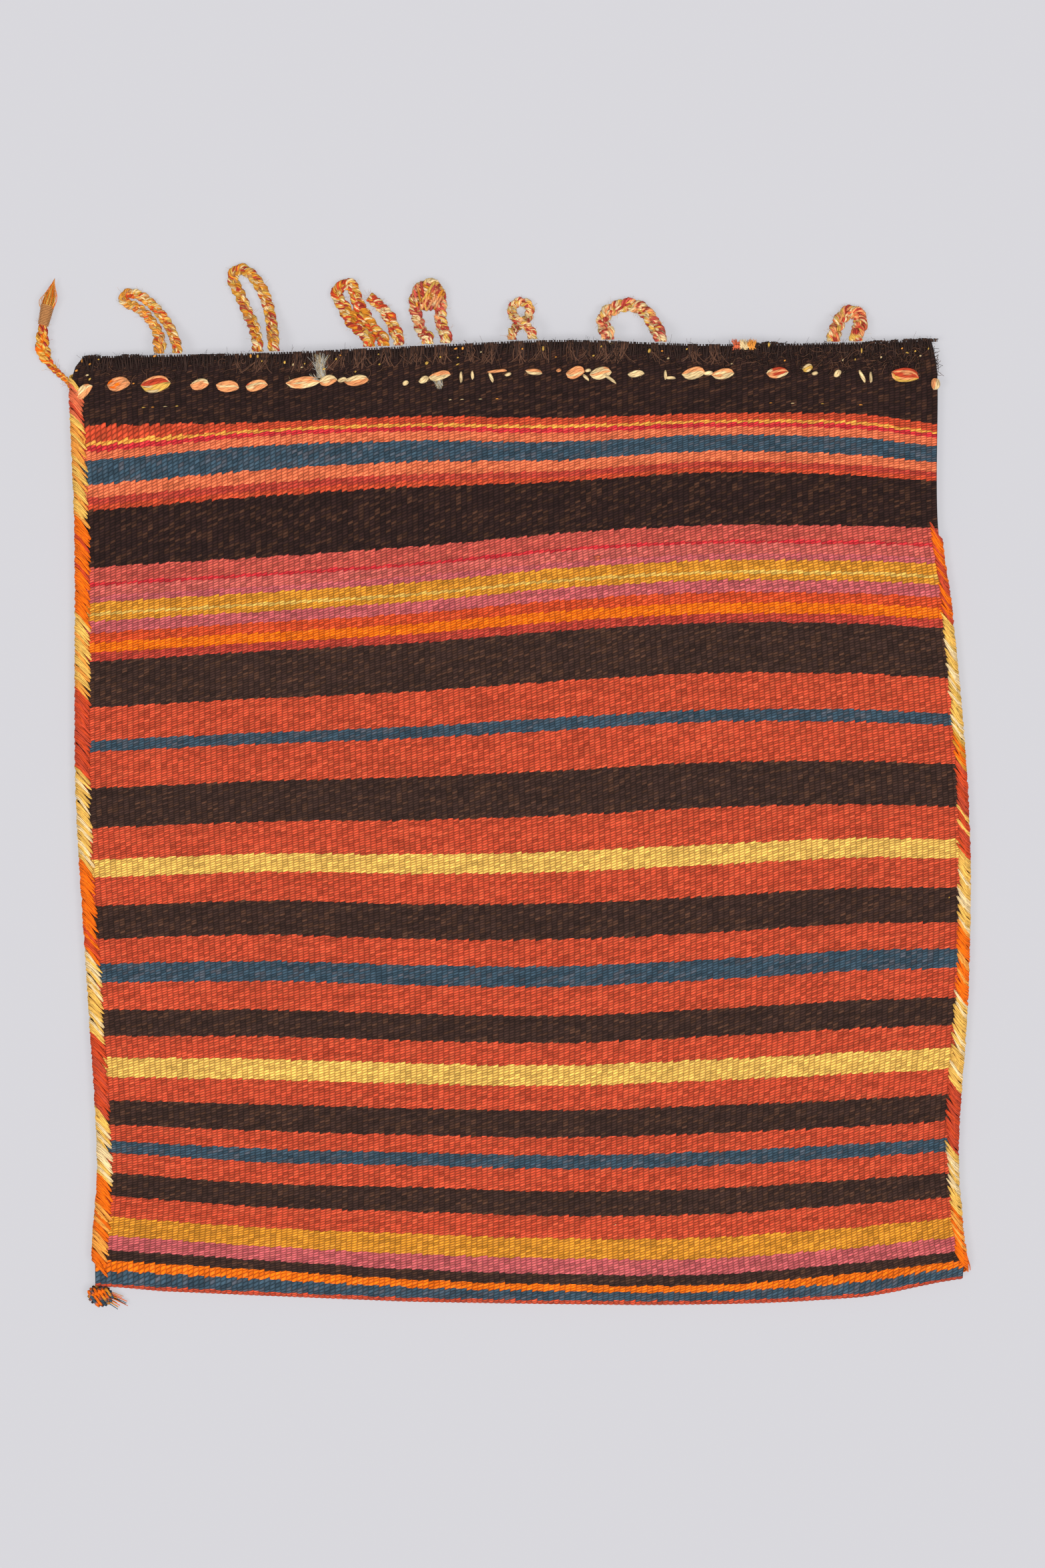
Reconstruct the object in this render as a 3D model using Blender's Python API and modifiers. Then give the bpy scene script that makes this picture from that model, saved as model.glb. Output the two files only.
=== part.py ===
"""A hand-woven wool storage bag, lying on its back with its mouth towards +Y.

One strip of weft-faced cloth is folded at the bottom into a front and a back. Its sides are
sewn with runs of coloured yarn, its mouth is overcast with goat hair, and a yarn is laced
along the front just below the mouth. Braided loops stand along the mouth to close it.
Metres, +Z up, origin under the middle of the bag.
"""
import math

import bmesh
import bpy
from mathutils import Vector

MM = 0.001

# Main sizes: across the widest part of the cloth, and from the fold to the mouth
BAG_WIDTH = 540.0 * MM
BAG_DEPTH = 579.0 * MM

# The tables below hold places on the bag in millimetres for those two main sizes. These are
# the metres across and up the bag for each of their millimetres.
ACROSS = BAG_WIDTH / 540.0
UP = BAG_DEPTH / 579.0

# Cloth
CLOTH = 3.0 * MM
SEAM_GAP = 0.5 * MM
FULLNESS = 7.0 * MM
FULL_FROM_FOLD = 120.0 * UP
EDGE_LIFT = 2.4 * MM
LIFT_FLAT = 14.0 * MM
LIFT_END = 40.0 * MM
WEFT_CROWN = 0.6 * MM
CROWN_WIDTH = 12.0 * MM
FOLD_STEPS = 6
BACK_ROW = 24.0 * MM
MOUTH_Y = 288.4 * UP
CLEAR = 0.3 * MM

# Where the columns of the cloth lie, as shares of its width between the two lifted edges
COLUMNS = (0.0, 0.11, 0.24, 0.37, 0.5, 0.63, 0.76, 0.89, 1.0)

# Side edges of the cloth: place up the bag, place across
LEFT_EDGE = ((-290, -255.0), (-259, -255.4), (-207, -252.2), (-99, -258.2), (-19, -263.4),
             (29, -265.4), (173, -265.8), (253, -268.5), (290, -266.0))
RIGHT_EDGE = ((-290, 258.0), (-268, 266.5), (-247, 264.2), (-195, 261.0), (-115, 266.2),
              (-43, 268.2), (13, 267.0), (77, 262.2), (133, 256.6), (180, 250.5), (290, 250.5))

# How far a weft line bows up the bag, at seven places across and several distances from the
# mouth. The middle place is the line's own height.
BOW_ACROSS = (-240, -152, -64, 24, 112, 200, 240)
BOW_DOWN = (
    (0, (-10.2, -8.8, -4.8, -1.2, -3.6, -2.4, -0.4)),
    (46, (-2.4, -2.8, 0.8, 0.0, 2.4, 2.4, -2.4)),
    (61, (-8.0, -1.6, 0.8, 0.0, 4.0, 2.8, -1.2)),
    (72, (-13.2, -5.6, -0.8, 0.0, 5.6, 3.6, 0.0)),
    (115, (-19.2, -14.0, -8.0, 0.0, 4.8, 4.8, 3.6)),
    (174, (-17.2, -12.0, -7.2, 0.0, 4.8, 4.4, 2.4)),
    (257, (-10.0, -6.4, -4.0, 0.0, 4.8, 5.6, 4.4)),
    (338, (-1.2, 1.6, -0.4, 0.0, 4.0, 9.2, 9.2)),
    (404, (3.2, 3.6, 1.2, 0.0, 4.0, 9.2, 10.4)),
    (461, (5.6, 3.6, 1.2, 0.0, 2.8, 6.4, 8.4)),
    (510, (10.4, 4.4, 2.4, 0.0, 1.6, 6.8, 9.6)),
    (560, (13.6, 8.0, 2.8, 0.0, -0.4, 6.4, 10.8)),
    (567, (14.8, 9.2, 3.6, 0.4, 0.0, 7.2, 12.0)),
    (575, (8.4, 4.8, 1.6, 0.2, 0.0, 3.6, 10.0)),
)

# Weft bands of the front from the mouth down: yarn, width
FRONT_BANDS = (
    ("black_brown", 46.0), ("coral", 14.8), ("blue", 10.4), ("salmon", 6.8), ("wine", 6.8),
    ("black_brown", 30.4), ("rose", 20.8), ("gold", 12.4), ("mauve", 6.8), ("red", 6.4),
    ("orange", 7.2), ("wine", 5.2), ("umber", 29.6), ("red", 22.0), ("blue", 8.0),
    ("red", 23.6), ("umber", 26.8), ("red", 22.4), ("yellow", 11.2), ("red", 19.6),
    ("umber", 20.8), ("red", 16.8), ("blue", 12.4), ("red", 16.4), ("umber", 16.4),
    ("red", 13.6), ("yellow", 12.4), ("red", 14.4), ("umber", 16.0), ("red", 11.6),
    ("blue", 8.0), ("red", 13.2), ("umber", 15.2), ("red", 13.2), ("gold", 12.0),
    ("mauve", 9.6), ("umber", 7.6), ("orange", 4.4), ("blue", 5.2), ("coral", 2.4),
)

# Weft bands of the plain back, from the fold up. The last one runs on to the mouth.
BACK_BANDS = (("umber", 90.0), ("red", 10.0), ("umber", 90.0), ("blue", 8.0), ("umber", 90.0),
              ("red", 10.0), ("umber", 90.0), ("blue", 8.0), ("umber", 90.0), ("red", 10.0),
              ("black_brown", 0.0))

# Goat-hair overcasting of the mouth
OVERCAST = 1.2 * MM
OVERCAST_CLEAR = 0.5 * MM
OVERCAST_DEPTH = 11.0 * MM
OVERCAST_PITCH = 12.0 * MM
OVERCAST_RIDGE = 0.4 * MM
BACK_OVERCAST_INSET = 52.0 * MM
BACK_OVERCAST_PITCH = 26.0 * MM

# Side seams: yarn wrapped over both edges, in runs from the mouth down
SEAM_YARN = 1.4 * MM
SEAM_RIDGE = 0.4 * MM
SEAM_PITCH = 12.0 * MM
SEAM_DEPTH = 9.0 * MM
SEAM_UNDER = 5.0 * MM
SEAM_SLANT = 4.0 * MM
RUN_GAP = 0.6 * MM
LEFT_SEAM_BELOW_MOUTH = 28.0 * UP
RIGHT_SEAM_BELOW_MOUTH = 112.4 * UP
LEFT_RUNS = (
    ("coral_plait", "salmon", 20.0), ("yellow_1", "yellow", 62.0), ("orange_1", "orange", 59.0),
    ("yellow_2", "yellow", 44.0), ("red_1", "coral", 48.0), ("yellow_3", "yellow", 40.0),
    ("cream", "cream", 15.0), ("orange_2", "orange", 55.0), ("yellow_4", "yellow", 49.0),
    ("red_2", "red", 45.0), ("yellow_5", "yellow", 40.0), ("orange_3", "orange", 53.0),
)
RIGHT_RUNS = (
    ("orange_1", "orange", 53.0), ("yellow_1", "yellow", 72.0), ("amber", "gold", 16.0),
    ("red_1", "red", 28.0), ("red_2", "coral", 25.0), ("yellow_2", "yellow", 44.0),
    ("orange_2", "orange", 43.0), ("yellow_3", "yellow", 53.0), ("red_3", "coral", 37.0),
    ("yellow_4", "yellow", 38.0), ("orange_3", "orange", 30.0),
)

# Laced yarn below the mouth: place across and length of each float
LACE_BELOW_MOUTH = 20.8 * MM
LACE_HALF_WIDTH = 3.6 * MM
LACE_HALF_HEIGHT = 1.4 * MM
LACE_THREAD = 0.22
LACE_FLOATS = (
    (-241, 12), (-218.5, 16), (-193, 12), (-175.5, 10), (-158, 12), (-133, 20), (-115.5, 12),
    (-98.5, 12), (-69, 8), (-58, 10), (-32, 8), (-18, 8), (7.5, 7), (33, 10), (47.5, 10),
    (68, 12), (89, 10), (103, 12), (121.5, 12), (154, 12), (172, 10), (190, 12),
    (207.5, 10), (231, 16),
)

# Mouth loops: radius, yarn, places where the braid is thicker (share along, times wider),
# where its two ends are sewn across the mouth, and its route's own points between them.
# Radii and heights are in plain millimetres. A braid with one sewn end starts at a free point.
LOOPS = {
    "mouth_loop_1": (2.8, "gold", ((0.06, 1.35),), (-216.5, -206), (
        (-217.5, 292, 7.5), (-220.5, 298.5, 5.4), (-225.6, 304.8, 4.0), (-231.5, 309.2, 3.3),
        (-237.4, 311.8, 3.2), (-238.9, 315.2, 3.2), (-235.8, 317.3, 3.2), (-229.6, 316.4, 3.2),
        (-222, 311, 3.6), (-215.2, 303.2, 4.4), (-210.3, 295.5, 6.4))),
    "mouth_loop_2": (3.2, "gold", (), (-157.5, -148), (
        (-160, 296.8, 8.6), (-163.8, 304.8, 5.6), (-168, 315, 3.8), (-172.2, 323.5, 3.6),
        (-172.8, 329, 3.6), (-168.4, 332, 3.6), (-163.4, 330, 3.6), (-158.4, 324.4, 3.6),
        (-154.2, 316.8, 3.8), (-151, 306.5, 5.4), (-149.2, 296, 9.0))),
    "mouth_loop_3": (3.4, "gold", (), (-90.5, -82), (
        (-97.6, 296, 9.6), (-102, 302, 6.6), (-106.5, 309.5, 4.6), (-110, 315, 3.8),
        (-110, 319.5, 3.8), (-106.8, 321.8, 3.8), (-103, 323.2, 3.8), (-100.4, 320, 3.8),
        (-98.6, 314, 4.0), (-95.6, 306, 5.4), (-91.5, 299, 7.6), (-86, 293, 10.6))),
    "mouth_loop_3_leg": (3.0, "wine", (), (None, -73), (
        (-91, 315.2, 3.6), (-87.5, 312.6, 3.6), (-83.5, 308.8, 3.9), (-80, 304.4, 5.0),
        (-77.3, 299.4, 7.0), (-75.4, 294.5, 10.0))),
    "mouth_loop_4": (3.3, "mauve", ((0.5, 1.5),), (-55.5, -44.5), (
        (-59.5, 294, 11.0), (-61.5, 301, 7.6), (-63.6, 308.5, 5.0), (-62.8, 315.5, 4.6),
        (-58.5, 320.2, 5.4), (-53, 321.2, 5.4), (-48.8, 317.5, 4.6), (-47.8, 310, 4.8),
        (-48.2, 302.5, 7.0), (-46.6, 295, 10.6))),
    "mouth_loop_5": (2.6, "salmon", (), (-5, 7), (
        (-3, 296.4, 9.0), (2.2, 300, 5.0), (5.2, 304.5, 3.4), (5.6, 309, 3.2), (2.4, 312, 3.2),
        (-2.2, 312, 3.6), (-5, 308.5, 5.4), (-4.6, 303.8, 9.5), (-1, 299.6, 14.6),
        (3.6, 296.6, 15.2))),
    "mouth_loop_6": (3.8, "rose", (), (52.5, 83.5), (
        (50.2, 296, 9.6), (49.8, 301.5, 6.6), (52.6, 306.3, 4.9), (58, 309, 4.3),
        (64.5, 310.6, 4.2), (71.2, 309, 4.3), (75.8, 305.4, 4.9), (79, 300.5, 6.6),
        (81.6, 295.5, 9.6))),
    "mouth_loop_8": (3.9, "coral", (), (188, 201.5), (
        (189.6, 295.6, 9.0), (191.4, 300, 6.6), (194.2, 304, 4.9), (198.8, 306.4, 4.4),
        (203, 304.6, 4.5), (204.4, 300.4, 6.0), (203.4, 296, 8.6))),
}
LOOP_LEAD = 4.0 * MM
LOOP_SAMPLES_PER_POINT = 2
WORN_STUB = (2.0, "coral", (127, 132, 138))

# Tail at the left corner of the mouth, its thread whipping and its brush
TAIL_RADIUS = 3.8 * MM
TAIL_ROUTE = (
    (-270.3, 261.2, 4.6), (-272.6, 264.6, 4.2), (-277, 268.6, 3.4), (-281, 272.6, 3.4),
    (-284.4, 277, 3.6), (-286.8, 281.6, 4.2), (-287.6, 287, 4.5), (-287.4, 292.4, 4.8),
    (-287.2, 296, 4.8))
TAIL_WIDTHS = (0.42, 0.44, 0.5, 0.52, 0.64, 1.0, 1.05, 0.95, 0.6)
WHIP_START = (-287.0, 298.2, 4.8)
WHIP_TOWARDS = Vector((0.22, 0.975, 0.0)).normalized()
WHIP_LENGTH = 12.4 * MM
WHIP_INNER = 2.5 * MM
WHIP_WALL = 0.8 * MM
WHIP_TURNS = 4
TAIL_IN_WHIP = 2.2 * MM
BRUSH_LENGTHS = (0.0, 5.9, 8.6, 12.0, 16.0, 19.6, 22.4)
BRUSH_WIDTHS = (2.2, 2.2, 4.0, 4.4, 3.6, 1.8, 0.5)
BRUSH_BEND = (0.0, 0.0, 0.0, 0.0, 0.2, 0.4, 0.6)

# Tufts of spare yarn: yarn, radius, widths along, and the route from its own corner of the
# bag, the left one from the fold and the right one from the end of its seam
CORNER_TUFTS = {
    "left_corner_tassel": ("gold", 3.2, (1.0, 1.0, 0.75, 0.35), (
        (1.7, -1.7, 5.2), (6.2, -3.3, 4.4), (11.2, -5.7, 3.4), (16.2, -8.3, 2.4))),
    "right_corner_tuft": ("orange", 1.5, (1.0, 0.9, 0.5), (
        (1.7, -0.6, 4.6), (2.7, -3.8, 3.6), (3.2, -7.6, 2.2))),
}

YARNS = {
    "black_brown": (55, 35, 29), "umber": (67, 47, 38), "red": (193, 74, 46),
    "coral": (200, 72, 45), "wine": (174, 61, 44), "salmon": (219, 113, 73),
    "rose": (193, 84, 72), "mauve": (186, 88, 84), "gold": (209, 139, 42),
    "orange": (238, 110, 24), "yellow": (228, 176, 80), "blue": (64, 78, 88),
    "cream": (222, 201, 160), "thread": (120, 88, 58),
}
YARN_ROUGHNESS = 0.95


def linear(channel):
    """Scene value of one 0 to 255 colour channel."""
    share = channel / 255.0
    return share / 12.92 if share <= 0.04045 else ((share + 0.055) / 1.055) ** 2.4


def yarn_material(yarn):
    """The wool of one colour, made once."""
    material = bpy.data.materials.get(yarn + "_wool")
    if material is None:
        material = bpy.data.materials.new(yarn + "_wool")
        material.use_nodes = True
        shader = material.node_tree.nodes["Principled BSDF"]
        colour = tuple(linear(channel) for channel in YARNS[yarn]) + (1.0,)
        shader.inputs["Base Color"].default_value = colour
        shader.inputs["Roughness"].default_value = YARN_ROUGHNESS
        shader.inputs["Metallic"].default_value = 0.0
        material.diffuse_color = colour
    return material


def between(points, at):
    """Height of the smooth curve through (place, height) points, straight past its ends."""
    if at <= points[0][0]:
        low, high = 0, 1
    elif at >= points[-1][0]:
        low, high = len(points) - 2, len(points) - 1
    else:
        high = next(k for k, point in enumerate(points) if point[0] >= at)
        low = high - 1
    (x0, y0), (x1, y1) = points[low], points[high]
    share = (at - x0) / (x1 - x0)
    if not 0.0 <= share <= 1.0:
        return y0 + (y1 - y0) * share
    before = points[max(low - 1, 0)]
    after = points[min(high + 1, len(points) - 1)]
    slope0 = (y1 - before[1]) / (x1 - before[0]) * (x1 - x0)
    slope1 = (after[1] - y0) / (after[0] - x0) * (x1 - x0)
    square, cube = share ** 2, share ** 3
    return (y0 * (2 * cube - 3 * square + 1) + slope0 * (cube - 2 * square + share)
            + y1 * (3 * square - 2 * cube) + slope1 * (cube - square))


def left_edge(y):
    return between(LEFT_EDGE, y / UP) * ACROSS


def right_edge(y):
    return between(RIGHT_EDGE, y / UP) * ACROSS


def weft_y(down, x):
    """Height up the bag of the weft line that lies `down` from the mouth, at x."""
    across = []
    for place, at in enumerate(BOW_ACROSS):
        line = [(distance, bows[place]) for distance, bows in BOW_DOWN]
        across.append((at, between(line, min(down / UP, BOW_DOWN[-1][0]))))
    return MOUTH_Y - down + between(across, x / ACROSS) * UP


def line_ends(down):
    """Where a weft line meets the two side edges of the cloth."""
    left, right = LEFT_EDGE[0][1] * ACROSS, RIGHT_EDGE[0][1] * ACROSS
    for _ in range(3):
        left = left_edge(weft_y(down, left))
        right = right_edge(weft_y(down, right))
    return left, right


def column_x(down, column):
    """Place across of one column of the cloth on a weft line."""
    left, right = line_ends(down)
    last = len(COLUMNS) + 3
    outer = {0: left, 1: left + LIFT_FLAT, last - 1: right - LIFT_FLAT, last: right}
    if column in outer:
        return outer[column]
    inner_left, inner_right = left + LIFT_END, right - LIFT_END
    return inner_left + (inner_right - inner_left) * COLUMNS[column - 2]


FRONT_LENGTH = sum(width for _, width in FRONT_BANDS) * UP
LEFT_SEAM_TOP = MOUTH_Y - LEFT_SEAM_BELOW_MOUTH
RIGHT_SEAM_TOP = MOUTH_Y - RIGHT_SEAM_BELOW_MOUTH
EDGE_TOP = EDGE_LIFT + 2.0 * CLOTH + SEAM_GAP


def back_z(x, left, right):
    """Underside of the bag: flat, and lifted along the sides by the seams."""
    from_edge = min(x - left, right - x)
    share = (LIFT_END - from_edge) / (LIFT_END - LIFT_FLAT)
    return EDGE_LIFT * min(max(share, 0.0), 1.0)


def front_z(x, down, left, right):
    """Top of the bag: fullest in the middle and flat again at the fold."""
    across = 2.0 * (x - left) / (right - left) - 1.0
    rise = min(max(FRONT_LENGTH - down, 0.0) / FULL_FROM_FOLD, 1.0)
    return EDGE_TOP + FULLNESS * (1.0 - across ** 4) * (1.0 - (1.0 - rise) ** 2)


def top_at(x, down):
    left, right = line_ends(down)
    return front_z(x, down, left, right)


def grid_shell(name, columns, rows, place, thickness, outward, yarns):
    """An open grid laid out by place(column, row), given its wall by Solidify.

    yarns holds the yarn of each row of faces, or one yarn for all of them.
    """
    mesh = bpy.data.meshes.new(name)
    for yarn in sorted(set(yarns)):
        mesh.materials.append(yarn_material(yarn))
    slots = {yarn: slot for slot, yarn in enumerate(sorted(set(yarns)))}
    shell = bmesh.new()
    bmesh.ops.create_grid(shell, x_segments=columns, y_segments=rows, size=0.5)
    for face in shell.faces:
        row = int((face.calc_center_median().y + 0.5) * rows)
        face.material_index = slots[yarns[min(row, len(yarns) - 1)]]
        face.smooth = True
    for vert in shell.verts:
        vert.co = place(round((vert.co.x + 0.5) * columns), round((vert.co.y + 0.5) * rows))
    shell.to_mesh(mesh)
    shell.free()
    piece = bpy.data.objects.new(name, mesh)
    bag.objects.link(piece)
    wall = piece.modifiers.new("wall", "SOLIDIFY")
    wall.thickness = thickness
    wall.offset = 1.0 if outward else -1.0
    wall.use_even_offset = True
    return piece


def on_bag(point):
    """A point of the tables in metres."""
    return Vector((point[0] * ACROSS, point[1] * UP, point[2] * MM))


def smooth_route(points, per_point):
    """Points on one smooth curve through the route's own points."""
    ends = [(count, point) for count, point in enumerate(points)]
    steps = (len(points) - 1) * per_point
    route = []
    for step in range(steps + 1):
        at = step / per_point
        route.append(Vector([between([(k, point[axis]) for k, point in ends], at)
                             for axis in range(3)]))
    return route


def tube(name, route, radii, yarn):
    """A round yarn or braid along a route, with its own radius at each point."""
    curve = bpy.data.curves.new(name, "CURVE")
    curve.dimensions = "3D"
    curve.bevel_depth = max(radii)
    curve.bevel_resolution = 2
    curve.use_fill_caps = True
    spline = curve.splines.new("POLY")
    spline.points.add(len(route) - 1)
    for point, place, radius in zip(spline.points, route, radii):
        point.co = (*place, 1.0)
        point.radius = radius / max(radii)
    spline.use_smooth = True
    curve.materials.append(yarn_material(yarn))
    piece = bpy.data.objects.new(name, curve)
    bag.objects.link(piece)
    return piece


def make_cloth():
    """The one strip of cloth: back, fold and front."""
    front_rows = []
    down = 0.0
    for yarn, width in FRONT_BANDS:
        crown = 0.0 if down == 0.0 else WEFT_CROWN * min(width * UP / CROWN_WIDTH, 1.0)
        front_rows.append((down, 0.0, yarn))
        front_rows.append((down + width * UP / 2.0, crown, yarn))
        down += width * UP
    fold_radius = EDGE_TOP / 2.0
    front_rows = [row for row in front_rows if row[0] < FRONT_LENGTH - fold_radius]
    fold_down = FRONT_LENGTH - fold_radius
    last_yarn = FRONT_BANDS[-1][0]
    front_rows.append((fold_down, 0.0, last_yarn))

    back_rows = []
    up = 0.0
    for yarn, width in BACK_BANDS:
        width = width * UP or fold_down - up
        steps = math.ceil(width / BACK_ROW)
        back_rows += [(fold_down - up - width * step / steps, yarn) for step in range(steps)]
        up += width
    back_rows.append((0.0, BACK_BANDS[-1][0]))

    rows = [("back", down, 0.0) for down, _ in reversed(back_rows)]
    yarns = [yarn for _, yarn in reversed(back_rows[:-1])]
    rows += [("fold", fold_down, math.pi * step / FOLD_STEPS) for step in range(1, FOLD_STEPS)]
    yarns += [last_yarn] * FOLD_STEPS
    rows += [("front", down, crown) for down, crown, _ in reversed(front_rows)]
    yarns += [yarn for _, _, yarn in reversed(front_rows[:-1])]
    last_column = len(COLUMNS) + 3

    def place(column, row):
        part, down, value = rows[row]
        x = column_x(down, column)
        left, right = line_ends(down)
        y = weft_y(down, x)
        low = back_z(x, left, right)
        high = front_z(x, down, left, right)
        if part == "back":
            return Vector((x, y, low))
        if part == "front":
            crown = 0.0 if column in (0, last_column) else value
            return Vector((x, y, high + crown))
        radius = (high - low) / 2.0
        return Vector((x, y - radius * math.sin(value), low + radius - radius * math.cos(value)))

    return grid_shell("bag_cloth", last_column, len(rows) - 1, place, CLOTH, False, yarns)


def make_front_overcast():
    """Goat hair sewn over the front's mouth edge, in upright clusters."""
    left, right = line_ends(0.0)
    start, end = left + CLEAR, right - CLEAR
    stations = 2 * round((end - start) / OVERCAST_PITCH)

    def place(column, row):
        x = start + (end - start) * column / stations
        out = OVERCAST_CLEAR + (OVERCAST_RIDGE if column % 2 else 0.0)
        y = weft_y(0.0, x)
        top = top_at(x, 0.0)
        depth = OVERCAST_DEPTH + (OVERCAST_PITCH / 6.0 if column % 2 else 0.0)
        section = ((y + out, top - CLOTH), (y + out, top + out), (y - depth, top_at(x, depth) + out))
        return Vector((x, *section[2 - row]))

    return grid_shell("front_mouth_overcast", stations, 2, place, OVERCAST, True, ("black_brown",))


def make_back_overcast():
    """The same hair over the back's mouth edge, seen only from inside the mouth."""
    left, right = line_ends(0.0)
    start, end = left + BACK_OVERCAST_INSET, right - BACK_OVERCAST_INSET
    stations = 2 * round((end - start) / BACK_OVERCAST_PITCH)

    def place(column, row):
        x = start + (end - start) * column / stations
        out = CLEAR + (OVERCAST_RIDGE if column % 2 else 0.0)
        y = weft_y(0.0, x)
        section = ((y + out, CLEAR), (y + out, CLOTH + out), (y - OVERCAST_DEPTH, CLOTH + out))
        return Vector((x, *section[2 - row]))

    return grid_shell("back_mouth_overcast", stations, 2, place, OVERCAST, True, ("black_brown",))


def make_seam_run(name, yarn, side, y_top, y_bottom):
    """Yarn wrapped obliquely over both edges of the cloth, one ridge for every few turns."""
    stations = max(2 * round((y_top - y_bottom) / SEAM_PITCH), 2)
    edge = left_edge if side == "left" else right_edge
    inward = 1.0 if side == "left" else -1.0

    def place(column, row):
        share = row / stations if side == "left" else 1.0 - row / stations
        y = y_top + (y_bottom - y_top) * share
        ridge = SEAM_RIDGE if row % 2 else 0.0
        out = CLEAR + ridge
        x = edge(y)
        inside = x + inward * SEAM_DEPTH
        slant = SEAM_SLANT * min(1.0, 2.0 * share, 2.0 * (1.0 - share))
        top_y = y - inward * slant
        down = MOUTH_Y - y
        section = (
            (inside + inward * 2.0 * ridge, top_y, top_at(inside, down) + WEFT_CROWN + out),
            (x - inward * out, y, EDGE_TOP + out),
            (x - inward * out, y, EDGE_LIFT - out),
            (x + inward * SEAM_UNDER, y, EDGE_LIFT - out),
        )
        return Vector(section[column])

    return grid_shell(name, 3, stations, place, SEAM_YARN, True, (yarn,))


def seam_end(top, runs):
    return top - sum(length for _, _, length in runs) * UP


def make_seams():
    """Each side's runs, end to end from the top of its seam."""
    for side, top, runs in (("left", LEFT_SEAM_TOP, LEFT_RUNS), ("right", RIGHT_SEAM_TOP, RIGHT_RUNS)):
        y = top
        for label, yarn, length in runs:
            make_seam_run(f"{side}_seam_{label}", yarn, side, y, y - length * UP + RUN_GAP)
            y -= length * UP


def make_lace():
    """One thick yarn laced along the front, flat floats with thin thread between."""
    profile = bpy.data.curves.new("lace_section", "CURVE")
    profile.dimensions = "2D"
    ring = profile.splines.new("POLY")
    sides = 8
    ring.points.add(sides - 1)
    for k, point in enumerate(ring.points):
        turn = -2.0 * math.pi * k / sides
        point.co = (LACE_HALF_WIDTH * math.cos(turn), LACE_HALF_HEIGHT * math.sin(turn), 0.0, 1.0)
    ring.use_cyclic_u = True
    section = bpy.data.objects.new("lace_section", profile)
    section.hide_render = True
    section.display_type = "WIRE"
    guides.objects.link(section)

    curve = bpy.data.curves.new("lacing_yarn", "CURVE")
    curve.dimensions = "3D"
    curve.twist_mode = "Z_UP"
    curve.bevel_mode = "OBJECT"
    curve.bevel_object = section
    curve.use_fill_caps = True
    spline = curve.splines.new("POLY")
    stations = []
    for centre, length in LACE_FLOATS:
        for share, width in ((-0.5, LACE_THREAD), (-0.22, 1.0), (0.22, 1.0), (0.5, LACE_THREAD)):
            stations.append(((centre + share * length) * ACROSS, width))
    spline.points.add(len(stations) - 1)
    for point, (x, width) in zip(spline.points, stations):
        down = LACE_BELOW_MOUTH
        z = top_at(x, down) + CLEAR + LACE_HALF_HEIGHT * width
        point.co = (x, weft_y(down, x), z, 1.0)
        point.radius = width
    curve.materials.append(yarn_material("salmon"))
    lace = bpy.data.objects.new("lacing_yarn", curve)
    bag.objects.link(lace)
    return lace


def loop_seat(x, radius=0.0):
    """Where a braid's end, or the side of one lying along it, meets the overcast mouth edge."""
    y = weft_y(0.0, x) + OVERCAST_CLEAR + OVERCAST_RIDGE + OVERCAST + CLEAR + radius
    return Vector((x, y, top_at(x, 0.0) - CLOTH / 2.0))


def make_loops():
    """Braided loops along the mouth, each a plain tube of its braid's width."""
    for name, (radius, yarn, swells, ends, middle) in LOOPS.items():
        seats = [loop_seat(end * ACROSS) for end in ends if end is not None]
        leads = [seat + Vector((0.0, LOOP_LEAD, 0.0)) for seat in seats]
        free = [on_bag(point) for point in middle]
        route = smooth_route([*leads[:-1], *free, leads[-1]], LOOP_SAMPLES_PER_POINT)
        route = [*seats[:-1], *route, seats[-1]]
        radii = []
        for k in range(len(route)):
            share = k / (len(route) - 1)
            swell = sum((times - 1.0) * max(0.0, 1.0 - abs(share - at) / 0.12) for at, times in swells)
            radii.append(radius * MM * (1.0 + swell))
        tube(name, route, radii, yarn)
    radius, yarn, places = WORN_STUB
    route = smooth_route([loop_seat(x * ACROSS, radius * MM) for x in places], LOOP_SAMPLES_PER_POINT)
    tube("worn_loop_stub", route, [radius * MM] * len(route), yarn)


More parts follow.
